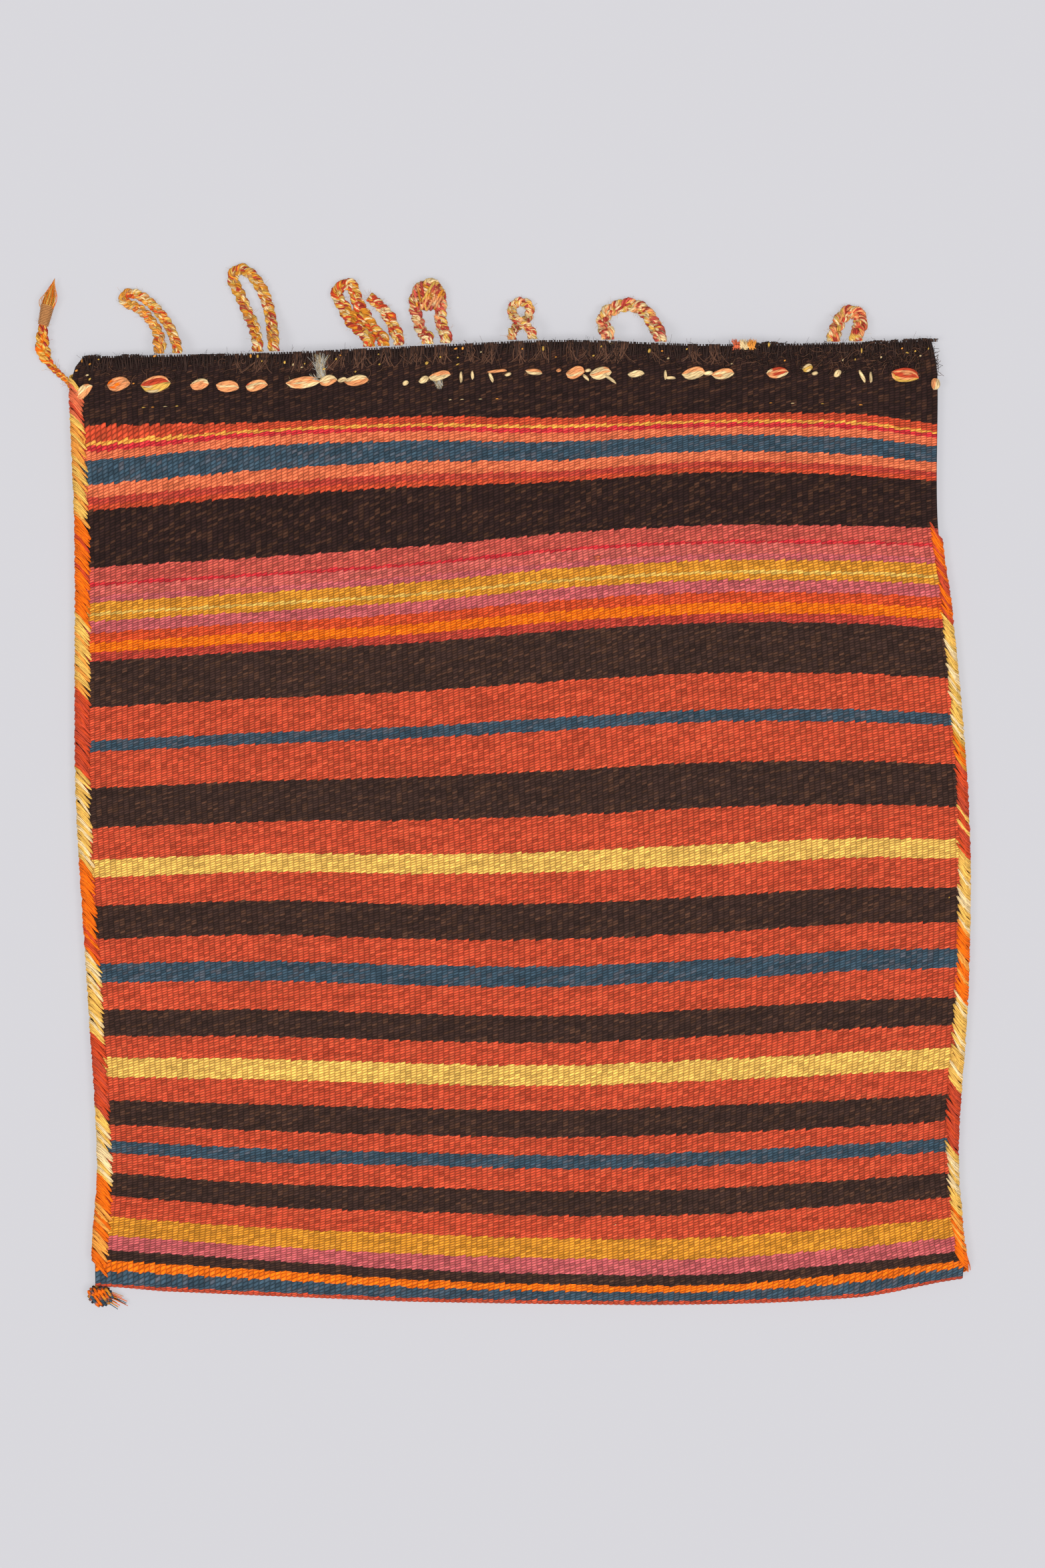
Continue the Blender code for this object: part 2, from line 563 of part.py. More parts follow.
def make_tail():
    """The corner tail, the thread wound round its end and the brush that the thread holds."""
    route = smooth_route([on_bag(point) for point in TAIL_ROUTE], LOOP_SAMPLES_PER_POINT)
    widths = list(enumerate(TAIL_WIDTHS))
    radii = [between(widths, k / LOOP_SAMPLES_PER_POINT) * TAIL_RADIUS for k in range(len(route))]
    seat = WHIP_LENGTH / 2.0 - CLEAR
    whip_start = on_bag(WHIP_START)
    route += [whip_start - WHIP_TOWARDS * CLEAR, whip_start + WHIP_TOWARDS * seat]
    radii += [TAIL_IN_WHIP, TAIL_IN_WHIP]
    tube("corner_tail", route, radii, "salmon")

    across = Vector((WHIP_TOWARDS.y, -WHIP_TOWARDS.x, 0.0))
    brush_start = whip_start + WHIP_TOWARDS * (WHIP_LENGTH / 2.0 + CLEAR)
    brush = [brush_start + WHIP_TOWARDS * along * MM + across * bend * MM
             for along, bend in zip(BRUSH_LENGTHS, BRUSH_BEND)]
    tube("tail_brush", brush, [width * MM for width in BRUSH_WIDTHS], "gold")

    mesh = bpy.data.meshes.new("tail_whipping")
    steps = 2 * WHIP_TURNS
    outline = [(WHIP_INNER, WHIP_LENGTH)]
    for step in range(steps + 1):
        wall = WHIP_WALL * (1.0 if step % 2 else 0.6)
        outline.append((WHIP_INNER + wall, WHIP_LENGTH * (1.0 - step / steps)))
    outline.append((WHIP_INNER, 0.0))
    edges = [(k, (k + 1) % len(outline)) for k in range(len(outline))]
    mesh.from_pydata([(x, 0.0, z) for x, z in outline], edges, [])
    mesh.materials.append(yarn_material("thread"))
    whipping = bpy.data.objects.new("tail_whipping", mesh)
    bag.objects.link(whipping)
    whipping.location = whip_start
    whipping.rotation_euler = WHIP_TOWARDS.to_track_quat("Z", "Y").to_euler()
    turned = whipping.modifiers.new("turned", "SCREW")
    turned.axis = "Z"
    turned.steps = 12
    turned.render_steps = 12
    turned.use_merge_vertices = True
    turned.merge_threshold = 0.00001


def make_tufts():
    """Spare yarn left at the two bottom corners."""
    left = line_ends(FRONT_LENGTH)[0]
    right_end = seam_end(RIGHT_SEAM_TOP, RIGHT_RUNS)
    corners = {
        "left_corner_tassel": Vector((left, weft_y(FRONT_LENGTH, left), 0.0)),
        "right_corner_tuft": Vector((right_edge(right_end), right_end, 0.0)),
    }
    for name, (yarn, radius, widths, points) in CORNER_TUFTS.items():
        route = [corners[name] + Vector(point) * MM for point in points]
        tube(name, route, [radius * MM * width for width in widths], yarn)


for old in list(bpy.data.objects):
    bpy.data.objects.remove(old)

bag = bpy.data.collections.new("woven_storage_bag")
guides = bpy.data.collections.new("guides")
bpy.context.scene.collection.children.link(bag)
bpy.context.scene.collection.children.link(guides)

make_cloth()
make_front_overcast()
make_back_overcast()
make_seams()
make_lace()
make_loops()
make_tail()
make_tufts()
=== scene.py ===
"""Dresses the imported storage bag: woven cloth, sewn edges, laced yarn and plaited loops.

The bag lies on its back and the camera looks straight down at it. Metres, +Z up. Tables hold
places on the bag in millimetres, counted from the middle of the bag.
"""

import functools
import math
import random

import bpy
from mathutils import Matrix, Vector, noise


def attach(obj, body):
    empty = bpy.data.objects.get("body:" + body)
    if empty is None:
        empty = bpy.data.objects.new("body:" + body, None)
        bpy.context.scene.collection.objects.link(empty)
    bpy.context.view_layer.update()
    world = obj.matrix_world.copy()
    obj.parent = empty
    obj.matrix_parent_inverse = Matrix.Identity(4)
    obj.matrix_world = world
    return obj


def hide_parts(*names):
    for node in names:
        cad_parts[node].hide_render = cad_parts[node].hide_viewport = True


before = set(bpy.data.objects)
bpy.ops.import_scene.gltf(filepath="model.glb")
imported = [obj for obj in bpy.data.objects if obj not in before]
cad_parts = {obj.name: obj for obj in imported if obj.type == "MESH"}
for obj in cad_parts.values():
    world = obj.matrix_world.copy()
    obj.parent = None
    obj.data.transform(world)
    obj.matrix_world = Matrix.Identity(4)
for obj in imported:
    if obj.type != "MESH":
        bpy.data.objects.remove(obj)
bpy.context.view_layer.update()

MM = 0.001

# Cloth: its thickness, the full middle and lifted sides of the bag, the mesh of its ribs, the
# floats of its weft, and the ripples of worn cloth
CLOTH = 3.0 * MM
SEAM_GAP = 0.5 * MM
FULLNESS = 7.0 * MM
FULL_FROM_FOLD = 120.0 * MM
EDGE_LIFT = 2.4 * MM
LIFT_FLAT = 14.0 * MM
LIFT_END = 40.0 * MM
MOUTH_Y = 288.4 * MM
EDGE_TOP = EDGE_LIFT + 2.0 * CLOTH + SEAM_GAP
RIBS = 159
COLUMNS_PER_RIB = 4
INNER_COLUMN_STEP = 6
RIB_HEIGHT = 0.42 * MM
BED_DEPTH = 0.3 * MM
BACK_BED_DEPTH = 0.6 * MM
BACK_RELIEF = 0.7
ROW_LENGTH = 6.4 * MM
BACK_ROW_LENGTH = 24.0 * MM
FOLD_ROWS = 8
WIDTH_ROW = 20
WIDTH_STEPS = 40
FLOAT_PITCH = 1.56 * MM
FLOAT_LEAN = 0.7
FLOAT_STRAY = 0.8 * MM
RIPPLE = 0.35 * MM
RIPPLE_SIZE = 42.0 * MM
RIPPLE_FADE = 8.0
MOUTH_RIPPLE = 0.5 * MM
MOUTH_RIPPLE_DEPTH = 60.0 * MM

# Side edges of the cloth: place up the bag, place across
LEFT_EDGE = ((-290, -255.0), (-259, -255.4), (-207, -252.2), (-99, -258.2), (-19, -263.4),
             (29, -265.4), (173, -265.8), (253, -269.0), (266, -269.0), (271.5, -268.0), (276, -264.8),
             (279.5, -262.0))
RIGHT_EDGE = ((-290, 258.0), (-268, 266.5), (-247, 264.2), (-195, 261.0), (-115, 266.2),
              (-43, 268.2), (13, 267.0), (77, 262.2), (133, 256.6), (180, 250.5), (264, 250.5),
              (277, 249.4), (284, 247.8), (290, 246.4))

# How far a weft line bows up the bag, at seven places across and several distances from the
# mouth. The middle place is the line's own height.
BOW_ACROSS = (-240, -152, -64, 24, 112, 200, 240)
BOW_DOWN = (
    (0, (-10.2, -8.8, -4.8, -1.2, -3.6, -2.4, -0.4)),
    (46, (-2.4, -2.8, 0.8, 0.0, 2.4, 2.4, -2.4)),
    (54, (-11.6, -2.2, 0.8, 0.0, 3.2, 2.6, -1.8)),
    (61, (-8.0, -1.6, 0.8, 0.0, 4.0, 2.8, -1.2)),
    (72, (-13.2, -5.6, -0.8, 0.0, 5.6, 3.6, 0.0)),
    (115, (-19.2, -14.0, -8.0, 0.0, 4.8, 4.8, 3.6)),
    (174, (-17.2, -12.0, -7.2, 0.0, 4.8, 4.4, 2.4)),
    (257, (-10.0, -6.4, -4.0, 0.0, 4.8, 5.6, 4.4)),
    (338, (-1.2, 1.6, -0.4, 0.0, 4.0, 9.2, 9.2)),
    (404, (3.2, 3.6, 1.2, 0.0, 4.0, 9.2, 10.4)),
    (461, (5.6, 3.6, 1.2, 0.0, 2.8, 6.4, 8.4)),
    (510, (10.4, 4.4, 2.4, 0.0, 1.6, 6.8, 9.6)),
    (560, (13.6, 8.0, 2.8, 0.0, -0.4, 6.4, 10.8)),
    (567, (14.8, 9.2, 3.6, 0.4, 0.0, 7.2, 12.0)),
    (575, (8.4, 4.8, 1.6, 0.2, 0.0, 3.6, 10.0)),
)

# Weft bands of the front from the mouth down: yarn, width
FRONT_BANDS = (
    ("black_brown", 46.0), ("coral", 4.6), ("amber", 1.6), ("crimson", 2.8), ("salmon", 5.8),
    ("blue", 10.4), ("salmon", 6.8), ("wine", 3.4), ("coral", 3.4), ("black_brown", 30.4),
    ("rose", 9.6), ("crimson", 1.6), ("pink", 6.4), ("mauve", 3.2), ("gold", 6.8),
    ("straw", 2.0), ("gold", 3.6), ("mauve", 6.8), ("rust", 6.4), ("orange", 7.2),
    ("wine", 5.2), ("umber", 29.6), ("red", 22.0), ("blue", 8.0), ("red", 23.6),
    ("umber", 26.8), ("red", 22.4), ("yellow", 11.2), ("red", 19.6), ("umber", 20.8),
    ("red", 16.8), ("blue", 12.4), ("red", 16.4), ("umber", 16.4), ("red", 13.6),
    ("yellow", 12.4), ("red", 14.4), ("umber", 16.0), ("red", 11.6), ("blue", 8.0),
    ("red", 13.2), ("umber", 15.2), ("red", 13.2), ("gold", 12.0), ("mauve", 9.6),
    ("umber", 6.4), ("orange", 4.8), ("blue", 4.4), ("coral", 4.0),
)
# Weft bands of the plain back from the fold up
BACK_BANDS = (("coral", 5.0), ("umber", 85.0), ("red", 10.0), ("umber", 90.0), ("blue", 8.0),
              ("umber", 90.0), ("red", 10.0), ("umber", 90.0), ("blue", 8.0), ("umber", 90.0), ("red", 10.0),
              ("black_brown", 120.0))
FRONT_LENGTH = sum(width for _, width in FRONT_BANDS) * MM
BACK_LENGTH = sum(width for _, width in BACK_BANDS) * MM

# Colours of the yarns as they look in even light, each channel 0 to 255
YARNS = {
    "black_brown": (42, 25, 22), "umber": (56, 37, 31), "red": (191, 71, 44),
    "coral": (190, 68, 40), "crimson": (196, 44, 50), "wine": (173, 58, 44),
    "salmon": (218, 106, 68), "rose": (187, 78, 66), "pink": (192, 89, 80),
    "mauve": (186, 86, 88), "gold": (206, 133, 38), "straw": (214, 168, 78),
    "amber": (230, 150, 62), "rust": (203, 71, 34), "orange": (252, 114, 12),
    "yellow": (227, 176, 84), "blue": (54, 73, 86), "cream": (226, 196, 144),
    "white": (222, 216, 204), "thread": (184, 128, 78), "goat": (46, 31, 26),
    "brown_goat": (92, 62, 47), "peach": (230, 152, 98),
}
# How much brighter the scene makes them, and the brightest that it lets a channel get
YARN_GAIN = 1.1
BRIGHTEST = 0.9

# Side seams. In mm: how far a stitch slants down and stands out, and the radius of its yarn.
# Runs of yarn from the mouth down: CAD node, dyes, length.
SEAM_PITCH = 2.8 * MM
SEAM_STRANDS = 3
SEAM_DEPTH = {"left": 7.2 * MM, "right": 5.6 * MM}
SEAM_DROP = (7.5, 10.5)
SEAM_OUTSIDE = (1.3, 2.0)
SEAM_YARN = (0.62, 0.76)
LEFT_SEAM_TOP = 260.4 * MM
RIGHT_SEAM_TOP = 176.0 * MM
YELLOW_CREAM = ("yellow", "cream", "yellow")
YELLOW_AMBER = ("yellow", "yellow", "amber")
ORANGE_RUST = ("orange", "orange", "orange", "rust")
ORANGE_AMBER = ("orange", "orange", "amber")
CORAL_RUST = ("coral", "rust")
LEFT_RUNS = (
    ("left_seam_coral_plait", ("salmon", "coral", "salmon", "yellow"), 20.0),
    ("left_seam_yellow_1", YELLOW_AMBER, 62.0),
    ("left_seam_orange_1", ORANGE_RUST, 59.0),
    ("left_seam_yellow_2", YELLOW_AMBER, 44.0),
    ("left_seam_red_1", CORAL_RUST, 48.0),
    ("left_seam_yellow_3", YELLOW_CREAM, 40.0),
    ("left_seam_cream", ("cream", "yellow"), 15.0),
    ("left_seam_orange_2", ORANGE_RUST, 55.0),
    ("left_seam_yellow_4", YELLOW_CREAM, 49.0),
    ("left_seam_red_2", ("red", "rust"), 45.0),
    ("left_seam_yellow_5", YELLOW_CREAM, 40.0),
    ("left_seam_orange_3", ORANGE_AMBER, 53.0),
)
RIGHT_RUNS = (
    ("right_seam_orange_1", ("orange", "orange", "coral"), 53.0),
    ("right_seam_yellow_1", ("yellow", "straw", "cream"), 72.0),
    ("right_seam_amber", ("gold", "orange"), 16.0),
    ("right_seam_red_1", ("red", "rust"), 28.0),
    ("right_seam_red_2", ("coral", "yellow", "rust"), 25.0),
    ("right_seam_yellow_2", YELLOW_CREAM, 44.0),
    ("right_seam_orange_2", ORANGE_AMBER, 43.0),
    ("right_seam_yellow_3", YELLOW_CREAM, 53.0),
    ("right_seam_red_3", CORAL_RUST, 37.0),
    ("right_seam_yellow_4", YELLOW_CREAM, 38.0),
    ("right_seam_orange_3", ORANGE_AMBER, 30.0),
)

# Mouth loops: radius, slot, dyes of the plies, places where the plait is thicker (share along,
# times wider), where its ends are sewn across the mouth, and its route's own points. A thicker
# place fades out over SWELL_REACH of the length.
ROSE_PLIES = ("peach", "cream", "straw", "wine", "cream", "rose")
LOOPS = {
    "mouth_loop_1": (2.8, "gold_braid", ("gold", "straw", "amber", "thread", "cream", "rust"),
                     ((0.06, 1.35),), (-216.5, -206), (
        (-217.5, 292, 7.5), (-220.5, 298.5, 5.4), (-225.6, 304.8, 4.0), (-231.5, 309.2, 3.3),
        (-237.4, 311.8, 3.2), (-238.9, 315.2, 3.2), (-235.8, 317.3, 3.2), (-229.6, 316.4, 3.2),
        (-222, 311, 3.6), (-215.2, 303.2, 4.4), (-210.3, 295.5, 6.4))),
    "mouth_loop_2": (3.2, "gold_braid", ("gold", "cream", "wine", "straw", "thread", "gold"), (),
                     (-157.5, -148), (
        (-160, 296.8, 8.6), (-163.8, 304.8, 5.6), (-168, 315, 3.8), (-172.2, 323.5, 3.6),
        (-172.8, 329, 3.6), (-168.4, 332, 3.6), (-163.4, 330, 3.6), (-158.4, 324.4, 3.6),
        (-154.2, 316.8, 3.8), (-151, 306.5, 5.4), (-149.2, 296, 9.0))),
    "mouth_loop_3": (3.4, "gold_braid", ("gold", "straw", "wine", "gold", "cream", "rust"),
                     ((0.24, 1.3), (0.76, 1.3)), (-90.5, -82), (
        (-97.6, 296, 9.6), (-102, 302, 6.6), (-106.5, 309.5, 4.6), (-110, 315, 3.8),
        (-110, 319.5, 3.8), (-106.8, 321.8, 3.8), (-103, 323.2, 3.8), (-100.4, 320, 3.8),
        (-98.6, 314, 4.0), (-95.6, 306, 5.4), (-91.5, 299, 7.6), (-86, 293, 10.6))),
    "mouth_loop_3_leg": (3.0, "pink_braid", ("gold", "wine", "straw", "cream", "rust", "cream"),
                         ((0.45, 1.3), (0.75, 1.3)), (None, -73), (
        (-91, 315.2, 3.6), (-87.5, 312.6, 3.6), (-83.5, 308.8, 3.9), (-80, 304.4, 5.0),
        (-77.3, 299.4, 7.0), (-75.4, 294.5, 10.0))),
    "mouth_loop_4": (3.3, "pink_braid", ("rose", "cream", "straw", "wine", "peach", "cream"), ((0.5, 1.5),),
                     (-55.5, -44.5), (
        (-59.5, 294, 11.0), (-61.5, 301, 7.6), (-63.6, 308.5, 5.0), (-62.8, 315.5, 4.6),
        (-58.5, 320.2, 5.4), (-53, 321.2, 5.4), (-48.8, 317.5, 4.6), (-47.8, 310, 4.8),
        (-48.2, 302.5, 7.0), (-46.6, 295, 10.6))),
    "mouth_loop_5": (2.6, "pink_braid", ROSE_PLIES, (),
                     (-5, 7), (
        (-3, 296.4, 9.0), (2.2, 300, 5.0), (5.2, 304.5, 3.4), (5.6, 309, 3.2), (2.4, 312, 3.2),
        (-2.2, 312, 3.6), (-5, 308.5, 5.4), (-4.6, 303.8, 9.5), (-1, 299.6, 14.6),
        (3.6, 296.6, 15.2))),
    "mouth_loop_6": (3.8, "pink_braid", ROSE_PLIES, (),
                     (52.5, 83.5), (
        (50.2, 296, 9.6), (49.8, 301.5, 6.6), (52.6, 306.3, 4.9), (58, 309, 4.3),
        (64.5, 310.6, 4.2), (71.2, 309, 4.3), (75.8, 305.4, 4.9), (79, 300.5, 6.6),
        (81.6, 295.5, 9.6))),
    "mouth_loop_8": (3.9, "pink_braid", ("peach", "cream", "straw", "wine", "salmon"), (),
                     (188, 201.5), (
        (189.6, 295.6, 9.0), (191.4, 300, 6.6), (194.2, 304, 4.9), (198.8, 306.4, 4.4),
        (203, 304.6, 4.5), (204.4, 300.4, 6.0), (203.4, 296, 8.6))),
}
LOOP_LEAD = 4.0 * MM
SEWN_ABOVE_MOUTH = 2.4 * MM
SWELL_REACH = 0.12
SWELL_STEPS = 50

# Plaits: step of the points along them, plies in a strand, points in a run of one colour, and
# step of the points that say where a cord lies
PLAIT_STEP = 0.9 * MM
PLAIT_PLIES = 6
MOTTLE_RUN = 4
CORD_STEP = 1.5 * MM
# In half widths of the plait: length of one crossing, how far the strands and their plies run
# from the middle, and the radius of a ply
LOOP_CYCLE = 5.4
TAIL_CYCLE = 5.6
STRAND_SIDEWAYS = 0.62
STRAND_UPWARDS = 0.26
PLY_OUT = 0.36
PLY_STRAY = 0.06
PLY_FLATNESS = 0.9
PLY_TWIST = 2.2
PLY_RADIUS = 0.21
STEEP = 0.3
FUZZ_ABOVE_FLOOR = 0.3 * MM

# Knot of loop 4: its middle, half size, yarn, points in a run of one colour, dyes and layers. A
# layer is its way across in degrees, where its yarns lie from and to across the ball, their
# number, and times larger.
KNOT = (-55.4, 316.0, 6.2)
KNOT_SIZE = (8.6, 8.0, 4.2)
KNOT_YARN = 0.9 * MM
KNOT_MOTTLE_RUN = 3
KNOT_DYES = ("straw", "wine", "gold", "cream", "rose", "peach")
KNOT_STRANDS = ((-35, -0.85, 0.85, 9, 1.0), (60, -0.8, 0.1, 6, 1.1), (100, 0.3, 0.8, 3, 1.12))

# Tail at the left corner of the mouth: its route and widths, the thread wound round its end,
# and the brush of loose wool past it
TAIL_RADIUS = 3.8 * MM
TAIL_ROUTE = (
    (-270.3, 261.2, 4.6), (-272.6, 264.6, 4.2), (-277, 268.6, 3.4), (-281, 272.6, 3.4),
    (-284.4, 277, 3.6), (-286.8, 281.6, 4.2), (-287.6, 287, 4.5), (-287.4, 292.4, 4.8),
    (-287.2, 296, 4.8), (-286.6, 300, 4.8))
TAIL_WIDTHS = (0.42, 0.44, 0.5, 0.52, 0.64, 1.0, 1.05, 0.95, 0.75, 0.6)
WHIP_START = Vector((-287.0, 298.2, 4.8)) * MM
WHIP_TOWARDS = Vector((0.22, 0.975, 0.0)).normalized()
WHIP_LENGTH = 12.4 * MM
WHIP_RADIUS = (3.0 * MM, 3.9 * MM)
WHIP_THREAD = 0.42 * MM
WHIP_TURNS = 13
WHIP_TURN_STEPS = 12
TAIL_DYES = ("gold", "orange", "wine", "yellow")
BRUSH_DYES = ("gold", "orange", "amber", "straw")
BRUSH_HAIRS = 230
BRUSH_LENGTH = (10.0, 18.5)
BRUSH_INSIDE = 2.0 * MM
BRUSH_ABOVE_FLOOR = 0.6 * MM

# Goat hair over the mouth edge: its reach down the bag, the steps between strands, where the
# brown clusters of it stand from and to, and how far the back's hem stops short of the sides
HAIR_DEPTH = 11.0 * MM
HAIR_STEP = 1.5 * MM
CLUSTER_STEP = 0.5 * MM
HAIR_CLUSTERS = (
    (-171, -169), (-158.4, -150.4), (-136.4, -130.8), (-122.4, -112.8), (-108, -103.6),
    (-100.4, -96.4), (-95.6, -92.4), (-83.2, -77.6), (-71.2, -68.8), (-65.6, -58),
    (-51.6, -44.4), (-32.8, -28.8), (-22, -14), (-3.6, 2), (9.6, 16), (27.6, 31.6),
    (37.2, 42), (46.4, 52), (56.8, 65.2), (78.8, 82), (100.8, 106), (113.2, 119.6),
)
BACK_HEM_INSET = 54.0 * MM

# Loose goat hair: how many hairs lie on the hem, stand off its edge and off the worn corner,
# points of a lying hair, how far hairs stand off and lie outside the bag, where the matted part
# begins, and the worn corner from and to
LOOSE_HAIRS = 520
EDGE_HAIRS = 900
CORNER_HAIRS = 110
HAIR_POINTS = 6
HAIR_REACH = 3.2 * MM
HAIR_OUTSIDE = 3.0 * MM
GOAT_DYES = ("goat", "goat", "brown_goat")
MATTED_FROM = 127.0
WORN_CORNER = (267, 285)

# Frayed lengths of the mouth edge: from and to across, height of the wool above the edge. The
# wool stands in locks of a few hairs.
FRAYED = (
    (-261.0, -253.0, 2.0), (-240.0, -228.0, 1.6), (-196.0, -178.0, 0.8), (138.0, 156.0, 2.4),
    (208.0, 226.0, 1.6), (230.0, 246.0, 1.8), (244.0, 249.0, 1.2),
)
LOCK_HAIRS = 9

# Laced yarn: place across and up the bag, length, height, lean in degrees, dyes from top to bottom
LACE = (
    (-262.0, 258.0, 11.6, 6.4, 32, ("cream", "peach")),
    (-241.0, 262.2, 13.6, 8.0, 4, ("peach", "orange", "peach")),
    (-218.8, 262.0, 17.6, 9.6, 4, ("peach", "coral", "cream", "straw")),
    (-192.4, 261.8, 10.8, 6.4, 4, ("cream", "peach")),
    (-175.6, 260.6, 13.6, 6.8, -8, ("peach", "cream", "peach")),
    (-158.0, 261.0, 12.8, 6.4, 4, ("coral", "cream", "peach")),
    (-130.4, 262.8, 20.0, 6.8, 2, ("peach", "peach", "cream")),
    (-115.2, 264.0, 10.4, 6.0, 6, ("cream", "peach")),
    (-106.8, 264.4, 5.2, 2.6, 10, ("cream",)),
    (-98.4, 264.0, 14.4, 6.0, 4, ("cream", "peach")),
    (-68.8, 262.4, 3.4, 2.6, 20, ("cream",)),
    (-58.0, 264.4, 5.8, 3.6, 20, ("cream",)),
    (-48.4, 266.8, 12.8, 5.4, 6, ("peach", "cream")),
    (-35.6, 266.0, 6.4, 1.5, 88, ("cream",)),
    (-28.8, 267.2, 4.8, 1.5, 90, ("cream",)),
    (-17.6, 266.0, 6.2, 1.7, -72, ("cream",)),
    (-14.0, 269.6, 11.2, 1.6, 4, ("peach",)),
    (-7.6, 267.6, 3.4, 1.8, 10, ("cream",)),
    (8.0, 269.2, 9.6, 3.4, -10, ("peach", "cream")),
    (22.8, 270.0, 2.2, 1.8, 0, ("peach",)),
    (32.8, 268.8, 10.8, 7.0, 6, ("peach", "peach", "cream")),
    (39.2, 265.8, 4.6, 1.6, -50, ("cream",)),
    (40.4, 270.0, 3.0, 1.8, 0, ("cream",)),
    (48.0, 268.4, 12.8, 7.0, 6, ("cream", "peach", "cream")),
    (53.4, 265.2, 9.4, 1.6, -38, ("cream",)),
    (69.2, 268.0, 9.6, 3.8, 4, ("cream",)),
    (86.8, 267.4, 5.4, 1.5, 88, ("cream",)),
    (89.8, 265.6, 5.8, 1.6, -4, ("cream",)),
    (103.6, 268.4, 13.6, 7.0, 5, ("peach", "cream", "cream")),
    (112.4, 268.4, 5.2, 2.2, 0, ("cream",)),
    (121.2, 268.0, 13.2, 6.0, 4, ("peach", "cream")),
    (154.0, 268.8, 12.8, 6.2, 4, ("coral", "peach", "cream")),
    (172.0, 271.6, 6.0, 4.4, 12, ("cream", "straw")),
    (176.4, 268.4, 3.0, 2.0, 0, ("cream",)),
    (190.0, 268.4, 4.8, 3.2, 40, ("cream",)),
    (204.8, 266.8, 7.8, 1.8, -66, ("cream",)),
    (210.0, 266.4, 6.4, 1.5, 90, ("cream",)),
    (230.8, 267.6, 16.4, 8.8, -12, ("coral", "peach", "coral", "straw")),
    (249.0, 262.4, 6.6, 5.4, 70, ("peach", "cream")),
)

# Specks of pale wool caught in the hem: place across, place up the bag, length, thickness, lean.
# Those between two places up the bag are salmon.
SPECKS = (
    (-263.2, 276.4, 4.0, 1.2, 85), (-258.4, 274.2, 2.4, 1.4, 30), (-253.2, 277.0, 1.6, 1.2, 0),
    (-266.4, 270.4, 2.6, 1.8, 20), (-260.0, 267.6, 3.2, 1.6, 10), (-258.4, 265.2, 3.2, 1.8, 40),
    (-232.0, 262.4, 1.8, 1.4, 0), (-219.2, 278.8, 3.2, 1.8, 15), (-161.6, 278.6, 3.6, 1.8, 85),
    (-157.4, 278.4, 3.2, 1.8, 80), (-154.8, 275.6, 1.8, 1.2, 60), (-141.2, 274.8, 2.8, 1.8, 75),
    (-136.2, 273.4, 2.4, 1.4, 70), (-131.0, 271.8, 2.0, 1.4, 0), (-129.2, 274.0, 1.6, 1.2, 45),
    (-117.6, 270.8, 3.2, 1.6, 12), (-110.4, 276.8, 2.0, 1.6, 60), (-107.8, 279.0, 1.6, 1.2, 0),
    (-98.8, 269.2, 1.8, 1.4, 30), (-85.0, 279.6, 1.6, 1.2, 0), (-84.4, 273.6, 2.0, 1.4, 20),
    (-56.0, 274.4, 3.2, 2.6, 30), (-48.0, 278.0, 1.8, 1.4, 60), (-38.8, 283.0, 3.2, 1.8, 10),
    (-34.6, 283.2, 2.4, 2.0, 60), (-37.6, 277.6, 1.8, 1.4, 0), (-37.6, 273.6, 4.0, 1.3, 20),
    (-23.6, 281.0, 1.6, 1.2, 0), (1.2, 283.0, 1.8, 1.4, 40), (13.6, 283.2, 4.6, 2.2, 80),
    (21.2, 278.0, 2.0, 1.2, 0), (43.6, 278.8, 2.4, 1.5, 10), (48.4, 284.4, 1.8, 1.3, 50),
    (77.2, 281.8, 3.8, 2.6, 60), (84.8, 281.6, 1.8, 1.4, 0), (88.4, 277.2, 2.4, 1.5, 10),
    (99.6, 282.8, 1.8, 1.3, 45), (126.4, 274.0, 1.8, 1.3, 0), (148.8, 285.4, 4.6, 2.0, 80),
    (158.4, 276.0, 1.8, 1.3, 30), (172.8, 273.6, 2.0, 1.3, 0), (193.2, 276.4, 1.8, 1.3, 50),
    (200.6, 276.8, 2.0, 1.3, 70), (204.4, 282.0, 5.8, 1.5, 85), (216.2, 278.2, 2.2, 1.3, 65),
    (228.8, 283.6, 1.8, 1.3, 20), (232.0, 281.0, 3.2, 1.4, -20), (236.8, 282.0, 1.8, 1.3, 40),
    (240.0, 279.2, 2.0, 1.4, 0), (244.8, 283.6, 2.0, 1.4, 60),
    (46.0, 158.4, 6.4, 1.6, 8), (46.4, 156.8, 5.6, 1.6, 8), (56.8, -241.6, 1.8, 0.9, 30),
    (-226.0, 248.0, 4.0, 0.9, 2), (-220.5, 248.2, 3.4, 0.9, 2), (-213.0, 248.6, 4.4, 0.9, 3),
    (-206.0, 248.8, 3.6, 0.9, 3), (-42.0, 252.4, 3.4, 0.8, 3), (-35.0, 252.6, 4.0, 0.8, 3),
    (-24.0, 252.8, 4.0, 0.8, 2), (-14.0, 253.0, 3.6, 0.8, 2), (150.0, 250.6, 3.6, 0.8, 0),
    (163.0, 250.4, 4.0, 0.8, 0), (181.0, 250.2, 3.6, 0.8, -1), (204.0, 249.6, 4.2, 0.8, -2),
    (257.2, -45.6, 2.0, 0.9, 60),
)
SPECK_DYES = ("cream", "straw", "amber", "straw")
SPECK_SIZE = 0.55
SALMON_BETWEEN = (0.0, 200.0)

# Floats of the laced yarn: width of a strand, steps along it, how high a float is that has
# loose hairs, and their number
LENS_STRAND = 1.5
LENS_STEPS = 8
WIDE_LENS = 3.0
LENS_HAIRS = 420

